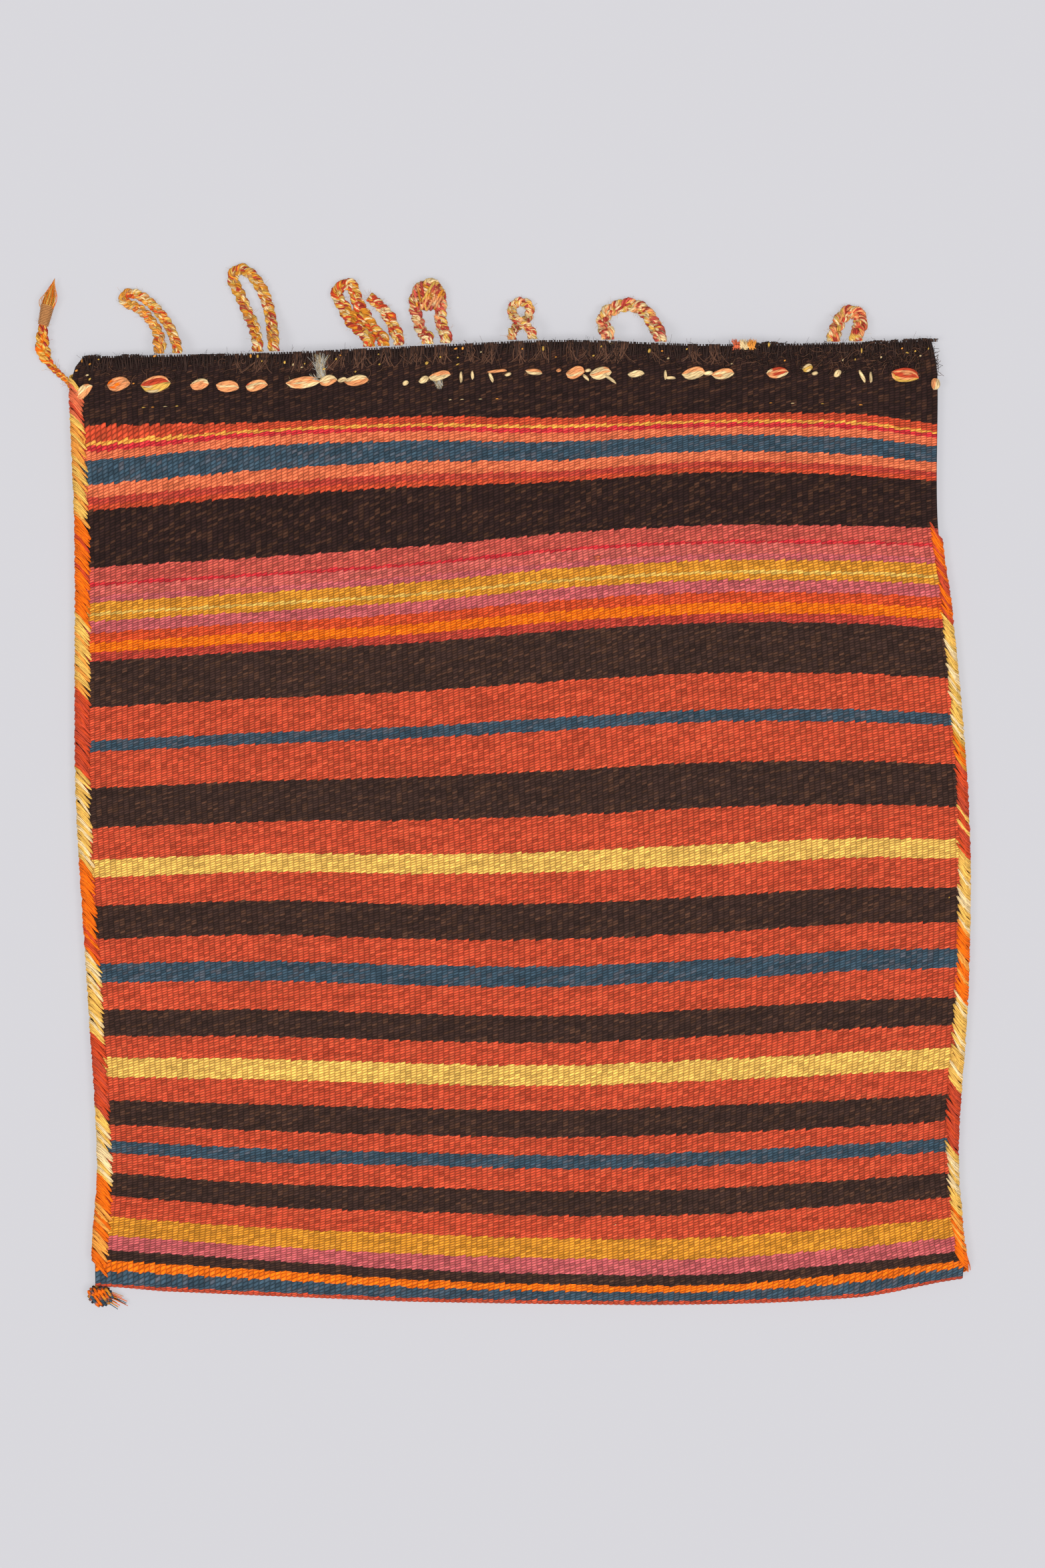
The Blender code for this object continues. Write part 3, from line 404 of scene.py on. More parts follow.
# Plumes of loose pale wool on the laced yarn: foot across and up the bag, length, way in
# degrees, hairs
PLUMES = ((-119.0, 265.5, 15.5, 98, 150), (-49.6, 265.0, 6.5, -80, 70), (-122.0, 264.0, 6.0, 150, 40))
PLUME_HAIR = 0.13 * MM

# Worn-off loop: from and to across the mouth, and how far its fibres reach out of it and below it
STUB = (127.6, 140.4)
STUB_OUT = 4.4 * MM
STUB_DOWN = 3.0 * MM
STUB_FIBRES = 70

# Tufts of spare yarn, each from its own corner of the bag: slot, dyes, radius, route
CORNER_TUFTS = {
    "left_corner_tassel": ("gold_braid", ("gold", "orange", "blue", "umber"), 3.2, (
        (1.7, -1.7, 5.2), (6.2, -3.3, 4.4), (11.2, -5.7, 3.4), (16.2, -8.3, 2.4))),
    "right_corner_tuft": ("orange_wool", ("orange", "amber", "orange"), 1.5, (
        (1.7, -0.6, 4.6), (2.7, -3.8, 3.6), (3.2, -7.6, 2.2))),
}
TUFT_ABOVE_FLOOR = 0.7 * MM

# Knot over the left tassel, measured as the one of loop 4 and from the bag's corner
TASSEL_KNOT = (2.6, -3.6, 5.4)
TASSEL_KNOT_SIZE = (6.8, 5.6, 3.6)
TASSEL_KNOT_YARN = 1.0 * MM
TASSEL_KNOT_STRANDS = ((25, -0.7, 0.7, 5, 1.0), (120, -0.75, 0.6, 6, 1.12))

# Camera: straight down, the frame 627 mm wide and 941 mm high at the bag's own level
FRAME_HEIGHT = 940.8 * MM
FRAME_CENTRE = (1.2 * MM, 22.4 * MM)
CAMERA_ABOVE = 3.0
BAG_LEVEL = 10.0 * MM
SENSOR = 36.0

# Lamps: tilt to the side in degrees, strength. All shine a little towards the bag's mouth.
LAMPS = (("left_lamp", -27.0, 1.26), ("right_lamp", 27.0, 1.17), ("top_lamp", 0.0, 1.05))
LAMP_TIP = 12.0
LAMP_SOFTNESS = 22.0
SKY_STRENGTH = 0.36

# Floor: half its width, its colour and its own glow
FLOOR_REACH = 20.0
FLOOR_COLOUR = (0.19, 0.188, 0.197, 1.0)
FLOOR_GLOW = (0.685, 0.678, 0.713, 1.0)
FLOOR_GLOW_STRENGTH = 0.638

# Look of the weave: roundness of floats and ribs, and where the gaps with their painted shade and the
# warmer floats begin and end. Each grain is how fast a noise changes across the ribs and down the
# bag: per metre, per pick and per float.
FLOAT_ROUND = 0.8
RIB_ROUND = 0.55
FLOAT_DRIFT = 0.3
PAINTED_SHADE_BETWEEN = (0.1, 0.85)
WARM_BETWEEN = (0.55, 1.0)
DRIFT_GRAIN = (0.63, 90.0)
TONE_GRAIN = (0.04, 0.37)
FIBRE_GRAIN = (2.6, 4.5)
WARMTH = 0.045
FIBRE_RELIEF = 0.25
FLOAT_DEPTH = 0.6 * MM

# Shades of the cloth and the yarns, each a gain and a base. That of the gaps paints shade into the
# gaps between floats and ribs and lightens their crowns.
LOT_SHADE = (0.6, 0.72)
PICK_SHADE = (0.8, 0.6)
FIBRE_SHADE = (0.9, 0.55)
PAINTED_GAP_SHADE = (-0.6, 1.15)
YARN_LOT_SHADE = (0.24, 0.88)

# Twisted yarn: angle between lots, grain of its fibres round it, along it and between lots,
# roundness of a ply, weight of its fibres, and where the painted shade between plies begins and ends
LOT_TURN = 40.0
TWIST_GRAIN = (2.4, 450.0, 90.0)
PLY_ROUND = 0.6
PLY_FIBRES = 0.5
PAINTED_PLY_SHADE_BETWEEN = (0.1, 0.7)

# Looks of the yarns: plies, length of one twist, depth and painted shade between plies, roughness
SEWING_WOOL = (3.0, 9.0 * MM, 0.30 * MM, 0.35, 0.85)
BRAID_WOOL = (2.0, 4.0 * MM, 0.15 * MM, 0.35, 0.85)
YARN_LOOKS = {
    "goat_hair": (2.0, 5.0 * MM, 0.10 * MM, 0.4, 0.7),
    "yellow_wool": SEWING_WOOL,
    "orange_wool": SEWING_WOOL,
    "red_wool": SEWING_WOOL,
    "cream_wool": SEWING_WOOL,
    "lacing_wool": (2.0, 6.0 * MM, 0.20 * MM, 0.35, 0.85),
    "gold_braid": BRAID_WOOL,
    "pink_braid": BRAID_WOOL,
    "brown_thread": (2.0, 1.6 * MM, 0.08 * MM, 0.4, 0.8),
}
WOOL_ROUGHNESS = 0.85
WOOL_SPECULAR = 0.1
WOOL_SHEEN = 0.03
SHEEN_ROUGHNESS = 0.6


def linear(channel):
    """Scene value of one 0 to 255 channel of an sRGB colour."""
    share = channel / 255.0
    return share / 12.92 if share <= 0.04045 else ((share + 0.055) / 1.055) ** 2.4


def dye(yarn):
    """Scene colour of a yarn, lifted because the weave's own shadows darken it."""
    colour = [linear(channel) for channel in YARNS[yarn]]
    gain = min(YARN_GAIN, BRIGHTEST / max(colour))
    return tuple(channel * gain for channel in colour)


def shade(colour, times):
    return tuple(min(channel * times, 1.0) for channel in colour)


def tinted(yarn, low, high, chance):
    """A yarn's colour, made darker or lighter by chance."""
    return shade(dye(yarn), chance.uniform(low, high))


def heading(turn):
    """A direction in the plane of the floor."""
    return Vector((math.cos(turn), math.sin(turn), 0.0))


def between(points, at):
    """Height of the smooth curve through (place, height) points, straight past its ends."""
    if at <= points[0][0]:
        low, high = 0, 1
    elif at >= points[-1][0]:
        low, high = len(points) - 2, len(points) - 1
    else:
        high = next(k for k, point in enumerate(points) if point[0] >= at)
        low = high - 1
    (x0, y0), (x1, y1) = points[low], points[high]
    share = (at - x0) / (x1 - x0)
    if not 0.0 <= share <= 1.0:
        return y0 + (y1 - y0) * share
    before = points[max(low - 1, 0)]
    after = points[min(high + 1, len(points) - 1)]
    slope0 = (y1 - before[1]) / (x1 - before[0]) * (x1 - x0)
    slope1 = (after[1] - y0) / (after[0] - x0) * (x1 - x0)
    square, cube = share ** 2, share ** 3
    return (y0 * (2 * cube - 3 * square + 1) + slope0 * (cube - 2 * square + share)
            + y1 * (3 * square - 2 * cube) + slope1 * (cube - square))


def left_edge(y):
    return between(LEFT_EDGE, y / MM) * MM


def right_edge(y):
    return between(RIGHT_EDGE, y / MM) * MM


@functools.lru_cache(maxsize=4096)
def bows(down):
    """How far one weft line bows up the bag, as (place across, bow) points."""
    across = []
    for place, at in enumerate(BOW_ACROSS):
        line = [(distance, values[place]) for distance, values in BOW_DOWN]
        across.append((at, between(line, min(down / MM, BOW_DOWN[-1][0]))))
    return across


def weft_y(down, x):
    """Height up the bag of the weft line that lies `down` from the mouth, at x."""
    return MOUTH_Y - down + between(bows(down), x / MM) * MM


@functools.lru_cache(maxsize=4096)
def line_ends(down):
    """Where a weft line meets the two side edges of the cloth."""
    left, right = LEFT_EDGE[0][1] * MM, RIGHT_EDGE[0][1] * MM
    for _ in range(3):
        left = left_edge(weft_y(down, left))
        right = right_edge(weft_y(down, right))
    return left, right


def down_at(x, y):
    """Distance from the mouth of the weft line that passes a place on the bag."""
    down = MOUTH_Y - y
    for _ in range(4):
        down += weft_y(down, x) - y
    return down


def back_z(x, left, right):
    """Underside of the bag: flat, and lifted along the sides by the seams."""
    from_edge = min(x - left, right - x)
    share = (LIFT_END - from_edge) / (LIFT_END - LIFT_FLAT)
    return EDGE_LIFT * min(max(share, 0.0), 1.0)


def ripple(x, y, down):
    """Slight unevenness of the worn cloth, strongest near its mouth."""
    near_mouth = max(0.0, 1.0 - down / MOUTH_RIPPLE_DEPTH)
    height = RIPPLE + MOUTH_RIPPLE * near_mouth
    return height * noise.noise(Vector((x, y, 0.0)) / RIPPLE_SIZE)


def front_z(x, down, left, right):
    """Top of the bag: fullest in the middle and flat again at the fold."""
    across = 2.0 * (x - left) / (right - left) - 1.0
    rise = min(max(FRONT_LENGTH - down, 0.0) / FULL_FROM_FOLD, 1.0)
    full = (1.0 - across ** 4) * (1.0 - (1.0 - rise) ** 2)
    wave = ripple(x, MOUTH_Y - down, down) * min(1.0, RIPPLE_FADE * (1.0 - abs(across)))
    return EDGE_TOP + FULLNESS * full + wave


def top_at(x, down):
    left, right = line_ends(down)
    return front_z(x, down, left, right)


def top_over(x, y):
    """Top of the cloth above a place on the bag."""
    return top_at(x, max(down_at(x, y), 0.0))


def smooth_route(points, per_point):
    """Points on one smooth curve through a route's own points."""
    steps = (len(points) - 1) * per_point
    lines = [[(k, point[axis]) for k, point in enumerate(points)] for axis in range(3)]
    return [Vector([between(line, step / per_point) for line in lines]) for step in range(steps + 1)]


def on_bag(point):
    return Vector(point) * MM


# Nodes


def put(tree, kind, feeds=None, **settings):
    """Adds one node, sets it, and feeds its inputs with sockets or plain values."""
    node = tree.nodes.new(kind)
    for name, value in settings.items():
        setattr(node, name, value)
    for socket, value in (feeds or {}).items():
        target = node.inputs[socket]
        if isinstance(value, bpy.types.NodeSocket):
            tree.links.new(value, target)
        else:
            target.default_value = value
    return node


def calc(tree, operation, *values):
    """Result of one Math node."""
    return put(tree, "ShaderNodeMath", dict(enumerate(values)), operation=operation).outputs[0]


def smooth_step(tree, value, low, high):
    node = put(tree, "ShaderNodeMapRange", {"Value": value, "From Min": low, "From Max": high},
               interpolation_type="SMOOTHSTEP")
    return node.outputs["Result"]


def new_group(name, kind, inputs, outputs):
    """An empty node group with named sockets. Inputs are (name, socket type, value)."""
    tree = bpy.data.node_groups.new(name, kind)
    for socket_name, socket_type, value in inputs:
        socket = tree.interface.new_socket(socket_name, in_out="INPUT", socket_type=socket_type)
        if value is not None:
            socket.default_value = value
    for socket_name, socket_type in outputs:
        tree.interface.new_socket(socket_name, in_out="OUTPUT", socket_type=socket_type)
    start = tree.nodes.new("NodeGroupInput")
    end = tree.nodes.new("NodeGroupOutput")
    return tree, start.outputs, end.inputs


def set_inputs(modifier, values):
    """Sets a Geometry Nodes modifier's inputs by the name that the tree gives them."""
    for socket in modifier.node_group.interface.items_tree:
        if socket.in_out == "INPUT" and socket.name in values:
            modifier[socket.identifier] = values[socket.name]


def add_object(name, data):
    thing = bpy.data.objects.new(name, data)
    bpy.context.scene.collection.objects.link(thing)
    return thing


def settled(worker, name):
    """The plain mesh that an object's modifiers make, as a new object at the origin."""
    bpy.context.view_layer.update()
    ready = worker.evaluated_get(bpy.context.evaluated_depsgraph_get())
    mesh = bpy.data.meshes.new_from_object(ready)
    mesh.name = name
    bpy.data.objects.remove(worker)
    return add_object(name, mesh)


def fit(piece, slot, *nodes):
    """Lets a finished piece ride on the bag and stand for the CAD's plain solids."""
    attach(piece, "root")
    if nodes:
        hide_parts(*nodes)
    return piece


# Trees that make the repeated shapes


def make_rib_tree():
    """Raises round warp ribs out of the cloth, from each point's place in the weave."""
    tree, given, made = new_group("warp_ribs", "GeometryNodeTree", (
        ("Geometry", "NodeSocketGeometry", None),
        ("Rib Height", "NodeSocketFloat", RIB_HEIGHT),
        ("Material", "NodeSocketMaterial", None),
    ), (("Geometry", "NodeSocketGeometry"),))
    weave = put(tree, "GeometryNodeInputNamedAttribute", {"Name": "weave"}, data_type="FLOAT_VECTOR")
    relief = put(tree, "GeometryNodeInputNamedAttribute", {"Name": "relief"}, data_type="FLOAT")
    rib = put(tree, "ShaderNodeSeparateXYZ", {"Vector": weave.outputs[0]}).outputs["X"]
    round_top = calc(tree, "SINE", calc(tree, "MULTIPLY", calc(tree, "FRACT", rib), math.pi))
    height = calc(tree, "MULTIPLY", round_top, given["Rib Height"])
    height = calc(tree, "MULTIPLY", height, relief.outputs[0])
    normal = put(tree, "GeometryNodeInputNormal")
    offset = put(tree, "ShaderNodeVectorMath",
                 {0: normal.outputs["Normal"], "Scale": height}, operation="SCALE")
    moved = put(tree, "GeometryNodeSetPosition",
                {"Geometry": given["Geometry"], "Offset": offset.outputs["Vector"]})
    real = put(tree, "GeometryNodeRealizeInstances", {"Geometry": moved.outputs[0]})
    ready = put(tree, "GeometryNodeSetMaterial",
                {"Geometry": real.outputs[0], "Material": given["Material"]})
    tree.links.new(ready.outputs[0], made["Geometry"])
    return tree


def make_yarn_tree():
    """Sweeps a round section along every line of points: yarns, and hairs with fewer sides."""
    tree, given, made = new_group("swept_yarns", "GeometryNodeTree", (
        ("Geometry", "NodeSocketGeometry", None),
        ("Yarn Sides", "NodeSocketInt", 6),
        ("Hair Sides", "NodeSocketInt", 3),
        ("Hair Up To", "NodeSocketFloat", 0.25 * MM),
        ("Material", "NodeSocketMaterial", None),
    ), (("Geometry", "NodeSocketGeometry"),))
    lines = put(tree, "GeometryNodeMeshToCurve", {"Mesh": given["Geometry"]}).outputs[0]
    along = put(tree, "GeometryNodeSplineParameter").outputs["Length"]
    lines = put(tree, "GeometryNodeStoreNamedAttribute",
                {"Geometry": lines, "Name": "along", "Value": along},
                data_type="FLOAT", domain="POINT").outputs[0]
    girth = put(tree, "GeometryNodeInputNamedAttribute", {"Name": "girth"}, data_type="FLOAT")
    is_hair = calc(tree, "LESS_THAN", girth.outputs[0], given["Hair Up To"])
    parts = put(tree, "GeometryNodeSeparateGeometry",
                {"Geometry": lines, "Selection": is_hair}, domain="CURVE")
    width = put(tree, "GeometryNodeInputNamedAttribute", {"Name": "width"}, data_type="FLOAT")
    joined = put(tree, "GeometryNodeJoinGeometry")
    for part, sides in (("Inverted", "Yarn Sides"), ("Selection", "Hair Sides")):
        section = put(tree, "GeometryNodeCurvePrimitiveCircle",
                      {"Resolution": given[sides], "Radius": 1.0}).outputs[0]
        place = put(tree, "GeometryNodeInputPosition").outputs[0]
        section = put(tree, "GeometryNodeStoreNamedAttribute",
                      {"Geometry": section, "Name": "ring", "Value": place},
                      data_type="FLOAT_VECTOR", domain="POINT").outputs[0]
        swept = put(tree, "GeometryNodeCurveToMesh",
                    {"Curve": parts.outputs[part], "Profile Curve": section,
                     "Scale": width.outputs[0], "Fill Caps": True}).outputs[0]
        tree.links.new(swept, joined.inputs[0])
    smooth = put(tree, "GeometryNodeSetShadeSmooth", {"Geometry": joined.outputs[0]})
    real = put(tree, "GeometryNodeRealizeInstances", {"Geometry": smooth.outputs[0]})
    ready = put(tree, "GeometryNodeSetMaterial",
                {"Geometry": real.outputs[0], "Material": given["Material"]})
    tree.links.new(ready.outputs[0], made["Geometry"])
    return tree


class Yarn:
    """One yarn or hair: the points that it follows, its radius at each, and its colours there."""

    def __init__(self, points, radii, colour, lot):
        self.points = points
        self.radii = [radii] * len(points) if isinstance(radii, float) else radii
        self.colours = colour if isinstance(colour, list) else [colour] * len(points)
        self.lot = lot


def sweep(name, yarns, material, sides=6):
    """A plain mesh of yarns, made by the yarn tree."""
    mesh = bpy.data.meshes.new(name + "_lines")
    points, edges, widths, girths, colours, lots = [], [], [], [], [], []
    for yarn in yarns:
        first = len(points)
        count = len(yarn.points)
        points.extend(yarn.points)
        edges.extend((first + k, first + k + 1) for k in range(count - 1))
        widths.extend(yarn.radii)
        girths.extend([max(yarn.radii)] * count)
        colours.extend([channel for colour in yarn.colours for channel in (*colour, 1.0)])
        lots.extend([yarn.lot] * count)
    mesh.from_pydata(points, edges, [])
    for attribute, values in (("width", widths), ("girth", girths), ("lot", lots)):
        mesh.attributes.new(attribute, "FLOAT", "POINT").data.foreach_set("value", values)
    mesh.attributes.new("dye", "FLOAT_COLOR", "POINT").data.foreach_set("color", colours)
    worker = add_object(name + "_lines", mesh)
    modifier = worker.modifiers.new("yarns", "NODES")
    modifier.node_group = yarn_tree
    set_inputs(modifier, {"Yarn Sides": sides, "Material": material})
    return settled(worker, name)


# Materials


def grain(tree, across, along, steps, detail):
    """A noise over the weave, stretched by its steps across the ribs and along the weft's count."""
    place = put(tree, "ShaderNodeCombineXYZ", {
        "X": calc(tree, "MULTIPLY", across, steps[0]),
        "Y": calc(tree, "MULTIPLY", along, steps[1]),
    })
    settings = {"Vector": place.outputs[0], "Scale": 1.0, "Detail": detail}
    return put(tree, "ShaderNodeTexNoise", settings).outputs["Fac"]


def rounded(tree, share, power):
    """Height of a round crest over a share from 0 to 1."""
    return calc(tree, "POWER", calc(tree, "SINE", calc(tree, "MULTIPLY", share, math.pi)), power)


def make_weave_group():
    """Slanted weft floats over upright warp ribs, as heights, a mask of the gaps for painted shade, and
    numbers for each float.
    """
    tree, given, made = new_group("weft_over_ribs", "ShaderNodeTree", (
        ("Rib", "NodeSocketFloat", 0.0),
        ("Down", "NodeSocketFloat", 0.0),
        ("Float Pitch", "NodeSocketFloat", FLOAT_PITCH),
        ("Lean", "NodeSocketFloat", FLOAT_LEAN),
        ("Unevenness", "NodeSocketFloat", FLOAT_DRIFT),
        ("Stray", "NodeSocketFloat", FLOAT_STRAY),
    ), (
        ("Height", "NodeSocketFloat"),
        ("Painted Gap Shade", "NodeSocketFloat"),
        ("Float Down", "NodeSocketFloat"),
        ("Lot", "NodeSocketFloat"),
        ("Warmth", "NodeSocketFloat"),
        ("Pick Tone", "NodeSocketFloat"),
        ("Fibre", "NodeSocketFloat"),
    ))
    rib = calc(tree, "FLOOR", given["Rib"])
    across = calc(tree, "FRACT", given["Rib"])
    odd = calc(tree, "MODULO", rib, 2.0)
    drift = grain(tree, rib, given["Down"], DRIFT_GRAIN, 1.0)
    drift = calc(tree, "MULTIPLY", calc(tree, "SUBTRACT", drift, 0.5), 2.0)
    shift = calc(tree, "MULTIPLY_ADD", drift, given["Unevenness"], calc(tree, "MULTIPLY", odd, 0.5))
    leaning = calc(tree, "MULTIPLY", calc(tree, "SUBTRACT", across, 0.5), given["Lean"])
    run = calc(tree, "ADD", calc(tree, "DIVIDE", given["Down"], given["Float Pitch"]), shift)
    phase = calc(tree, "ADD", run, leaning)
    number = calc(tree, "FLOOR", phase)
    within = calc(tree, "FRACT", phase)
    bulge = rounded(tree, within, FLOAT_ROUND)
    crest = rounded(tree, across, RIB_ROUND)
    height = calc(tree, "MULTIPLY", bulge, crest)
    tree.links.new(height, made["Height"])
    # Mask of the gaps between floats and ribs, where the cloth gets painted shade
    painted_gap_shade = calc(tree, "SUBTRACT", 1.0, smooth_step(tree, height, *PAINTED_SHADE_BETWEEN))
    tree.links.new(painted_gap_shade, made["Painted Gap Shade"])
    who = put(tree, "ShaderNodeCombineXYZ", {"X": rib, "Y": number})
    lot = put(tree, "ShaderNodeTexWhiteNoise", {"Vector": who.outputs[0]}, noise_dimensions="2D")
    tree.links.new(lot.outputs["Value"], made["Lot"])
    middle = calc(tree, "SUBTRACT", calc(tree, "ADD", number, 0.5), shift)
    middle = calc(tree, "MULTIPLY", middle, given["Float Pitch"])
    lots = put(tree, "ShaderNodeSeparateColor", {"Color": lot.outputs["Color"]}).outputs
    tree.links.new(smooth_step(tree, lots["Green"], *WARM_BETWEEN), made["Warmth"])
    stray = calc(tree, "MULTIPLY", calc(tree, "SUBTRACT", lots["Red"], 0.5), given["Stray"])
    colour_at = calc(tree, "MULTIPLY", calc(tree, "ADD", middle, given["Down"]), 0.5)
    tree.links.new(calc(tree, "ADD", colour_at, stray), made["Float Down"])
    pick = calc(tree, "ADD", calc(tree, "MULTIPLY", number, 2.0), odd)
    tree.links.new(grain(tree, rib, pick, TONE_GRAIN, 2.0), made["Pick Tone"])
    tree.links.new(grain(tree, given["Rib"], phase, FIBRE_GRAIN, 2.0), made["Fibre"])
    return tree


def band_ramp(tree, down, bands, start, length):
    """A constant ramp of band colours, read at a distance from the mouth."""
    share = calc(tree, "DIVIDE", calc(tree, "SUBTRACT", down, start), length)
    ramp = put(tree, "ShaderNodeValToRGB", {"Fac": share})
    ramp.color_ramp.interpolation = "CONSTANT"
    while len(ramp.color_ramp.elements) > 1:
        ramp.color_ramp.elements.remove(ramp.color_ramp.elements[-1])
    at = 0.0
    for count, (yarn, width) in enumerate(bands):
        if count:
            stop = ramp.color_ramp.elements.new(at / length)
        else:
            stop = ramp.color_ramp.elements[0]
            stop.position = 0.0
        stop.color = (*dye(yarn), 1.0)
        at += width * MM
    return ramp.outputs["Color"]


def mix_colour(tree, share, first, second):
    node = put(tree, "ShaderNodeMix", data_type="RGBA")
    for socket, value in ((node.inputs[0], share), (node.inputs[6], first), (node.inputs[7], second)):
        if isinstance(value, bpy.types.NodeSocket):
            tree.links.new(value, socket)
        else:
            socket.default_value = value
    return node.outputs[2]


def scale_colour(tree, colour, factor):
    node = put(tree, "ShaderNodeVectorMath", {0: colour, "Scale": factor}, operation="SCALE")
    return node.outputs["Vector"]


def wool_shader(tree, colour, height, depth, roughness):
    """Ends a material: matt wool with a soft sheen and a raised surface."""
    shader = tree.nodes["Principled BSDF"]
    tree.links.new(colour, shader.inputs["Base Color"])
    shader.inputs["Roughness"].default_value = roughness
    shader.inputs["Specular IOR Level"].default_value = WOOL_SPECULAR
    shader.inputs["Sheen Weight"].default_value = WOOL_SHEEN
    shader.inputs["Sheen Roughness"].default_value = SHEEN_ROUGHNESS
    bump = put(tree, "ShaderNodeBump", {"Height": height, "Distance": depth, "Strength": 1.0})
    tree.links.new(bump.outputs["Normal"], shader.inputs["Normal"])


def new_material(name):
    material = bpy.data.materials.new(name)
    material.use_nodes = True
    return material, material.node_tree


def cloth_bands(tree, down):
    """Colour of the band that lies at a distance from the mouth, on the front or the back."""
    half = len(FRONT_BANDS) // 2
    upper, lower = FRONT_BANDS[:half], FRONT_BANDS[half:]
    upper_length = sum(width for _, width in upper) * MM
    lower_length = FRONT_LENGTH - upper_length
    colour = band_ramp(tree, down, upper, 0.0, upper_length)
    below = band_ramp(tree, down, lower, upper_length, lower_length)
    behind = band_ramp(tree, down, BACK_BANDS, FRONT_LENGTH, BACK_LENGTH)
    colour = mix_colour(tree, calc(tree, "GREATER_THAN", down, upper_length), colour, below)
    return mix_colour(tree, calc(tree, "GREATER_THAN", down, FRONT_LENGTH), colour, behind)


def make_cloth_material():
    """Weft-faced wool in dyed bands, with painted shade in the gaps and painted light on the crowns, uneven
    dye and a few light flecks.
    """
    material, tree = new_material("striped_cloth")
    weave = put(tree, "ShaderNodeAttribute", attribute_name="weave").outputs["Vector"]
    place = put(tree, "ShaderNodeSeparateXYZ", {"Vector": weave})
    weft = put(tree, "ShaderNodeGroup", node_tree=weave_group)
    tree.links.new(place.outputs["X"], weft.inputs["Rib"])
    tree.links.new(place.outputs["Y"], weft.inputs["Down"])
    colour = cloth_bands(tree, weft.outputs["Float Down"])
    warmth = calc(tree, "MULTIPLY", weft.outputs["Warmth"], WARMTH)
    colour = mix_colour(tree, warmth, colour, (*dye("peach"), 1.0))
    tone = calc(tree, "MULTIPLY_ADD", weft.outputs["Lot"], *LOT_SHADE)
    streak = calc(tree, "MULTIPLY_ADD", weft.outputs["Pick Tone"], *PICK_SHADE)
    fibre = calc(tree, "MULTIPLY_ADD", weft.outputs["Fibre"], *FIBRE_SHADE)
    # Painted shade: darker in the gaps between floats and ribs, lighter on their crowns
    painted_gap_shade = calc(tree, "MULTIPLY_ADD", weft.outputs["Painted Gap Shade"], *PAINTED_GAP_SHADE)
    factor = calc(tree, "MULTIPLY", calc(tree, "MULTIPLY", tone, streak), calc(tree, "MULTIPLY", fibre, painted_gap_shade))
    colour = scale_colour(tree, colour, factor)
    height = calc(tree, "MULTIPLY_ADD", weft.outputs["Fibre"], FIBRE_RELIEF, weft.outputs["Height"])
    wool_shader(tree, colour, height, FLOAT_DEPTH, WOOL_ROUGHNESS)
    return material


def make_twist_group():
    """Plies and fibres that run round a yarn, as a height, a fibre tone and a mask of the gaps between plies
    for painted shade.
    """
    tree, given, made = new_group("twisted_wool", "ShaderNodeTree", (
        ("Along", "NodeSocketFloat", 0.0),
        ("Ring", "NodeSocketVector", (0.0, 0.0, 0.0)),
        ("Lot", "NodeSocketFloat", 0.0),
        ("Plies", "NodeSocketFloat", 2.0),
        ("Twist Length", "NodeSocketFloat", 4.0 * MM),
    ), (
        ("Height", "NodeSocketFloat"),
        ("Fibre", "NodeSocketFloat"),
        ("Painted Gap Shade", "NodeSocketFloat"),
    ))
    ring = put(tree, "ShaderNodeSeparateXYZ", {"Vector": given["Ring"]})
    angle = calc(tree, "ARCTAN2", ring.outputs["Y"], ring.outputs["X"])
    turns = calc(tree, "DIVIDE", given["Along"], given["Twist Length"])
    turns = calc(tree, "ADD", calc(tree, "MULTIPLY", turns, math.tau),
                 calc(tree, "MULTIPLY", given["Lot"], LOT_TURN))
    phase = calc(tree, "MULTIPLY_ADD", angle, given["Plies"], turns)
    ply = calc(tree, "ABSOLUTE", calc(tree, "SINE", calc(tree, "MULTIPLY", phase, 0.5)))
    wound = calc(tree, "ADD", angle, calc(tree, "DIVIDE", turns, given["Plies"]))
    round_it, along_it, between_lots = TWIST_GRAIN
    spot = put(tree, "ShaderNodeCombineXYZ", {
        "X": calc(tree, "MULTIPLY", calc(tree, "COSINE", wound), round_it),
        "Y": calc(tree, "MULTIPLY", calc(tree, "SINE", wound), round_it),
        "Z": calc(tree, "MULTIPLY_ADD", given["Along"], along_it,
                  calc(tree, "MULTIPLY", given["Lot"], between_lots)),
    })
    fibre = put(tree, "ShaderNodeTexNoise", {"Vector": spot.outputs[0], "Scale": 1.0, "Detail": 3.0})
    crest = calc(tree, "POWER", ply, PLY_ROUND)
    height = calc(tree, "MULTIPLY_ADD", fibre.outputs["Fac"], PLY_FIBRES, crest)
    tree.links.new(height, made["Height"])
    tree.links.new(fibre.outputs["Fac"], made["Fibre"])
    # Mask of the gaps between plies, where the yarn gets painted shade
    tree.links.new(calc(tree, "SUBTRACT", 1.0, smooth_step(tree, ply, *PAINTED_PLY_SHADE_BETWEEN)), made["Painted Gap Shade"])
    return tree


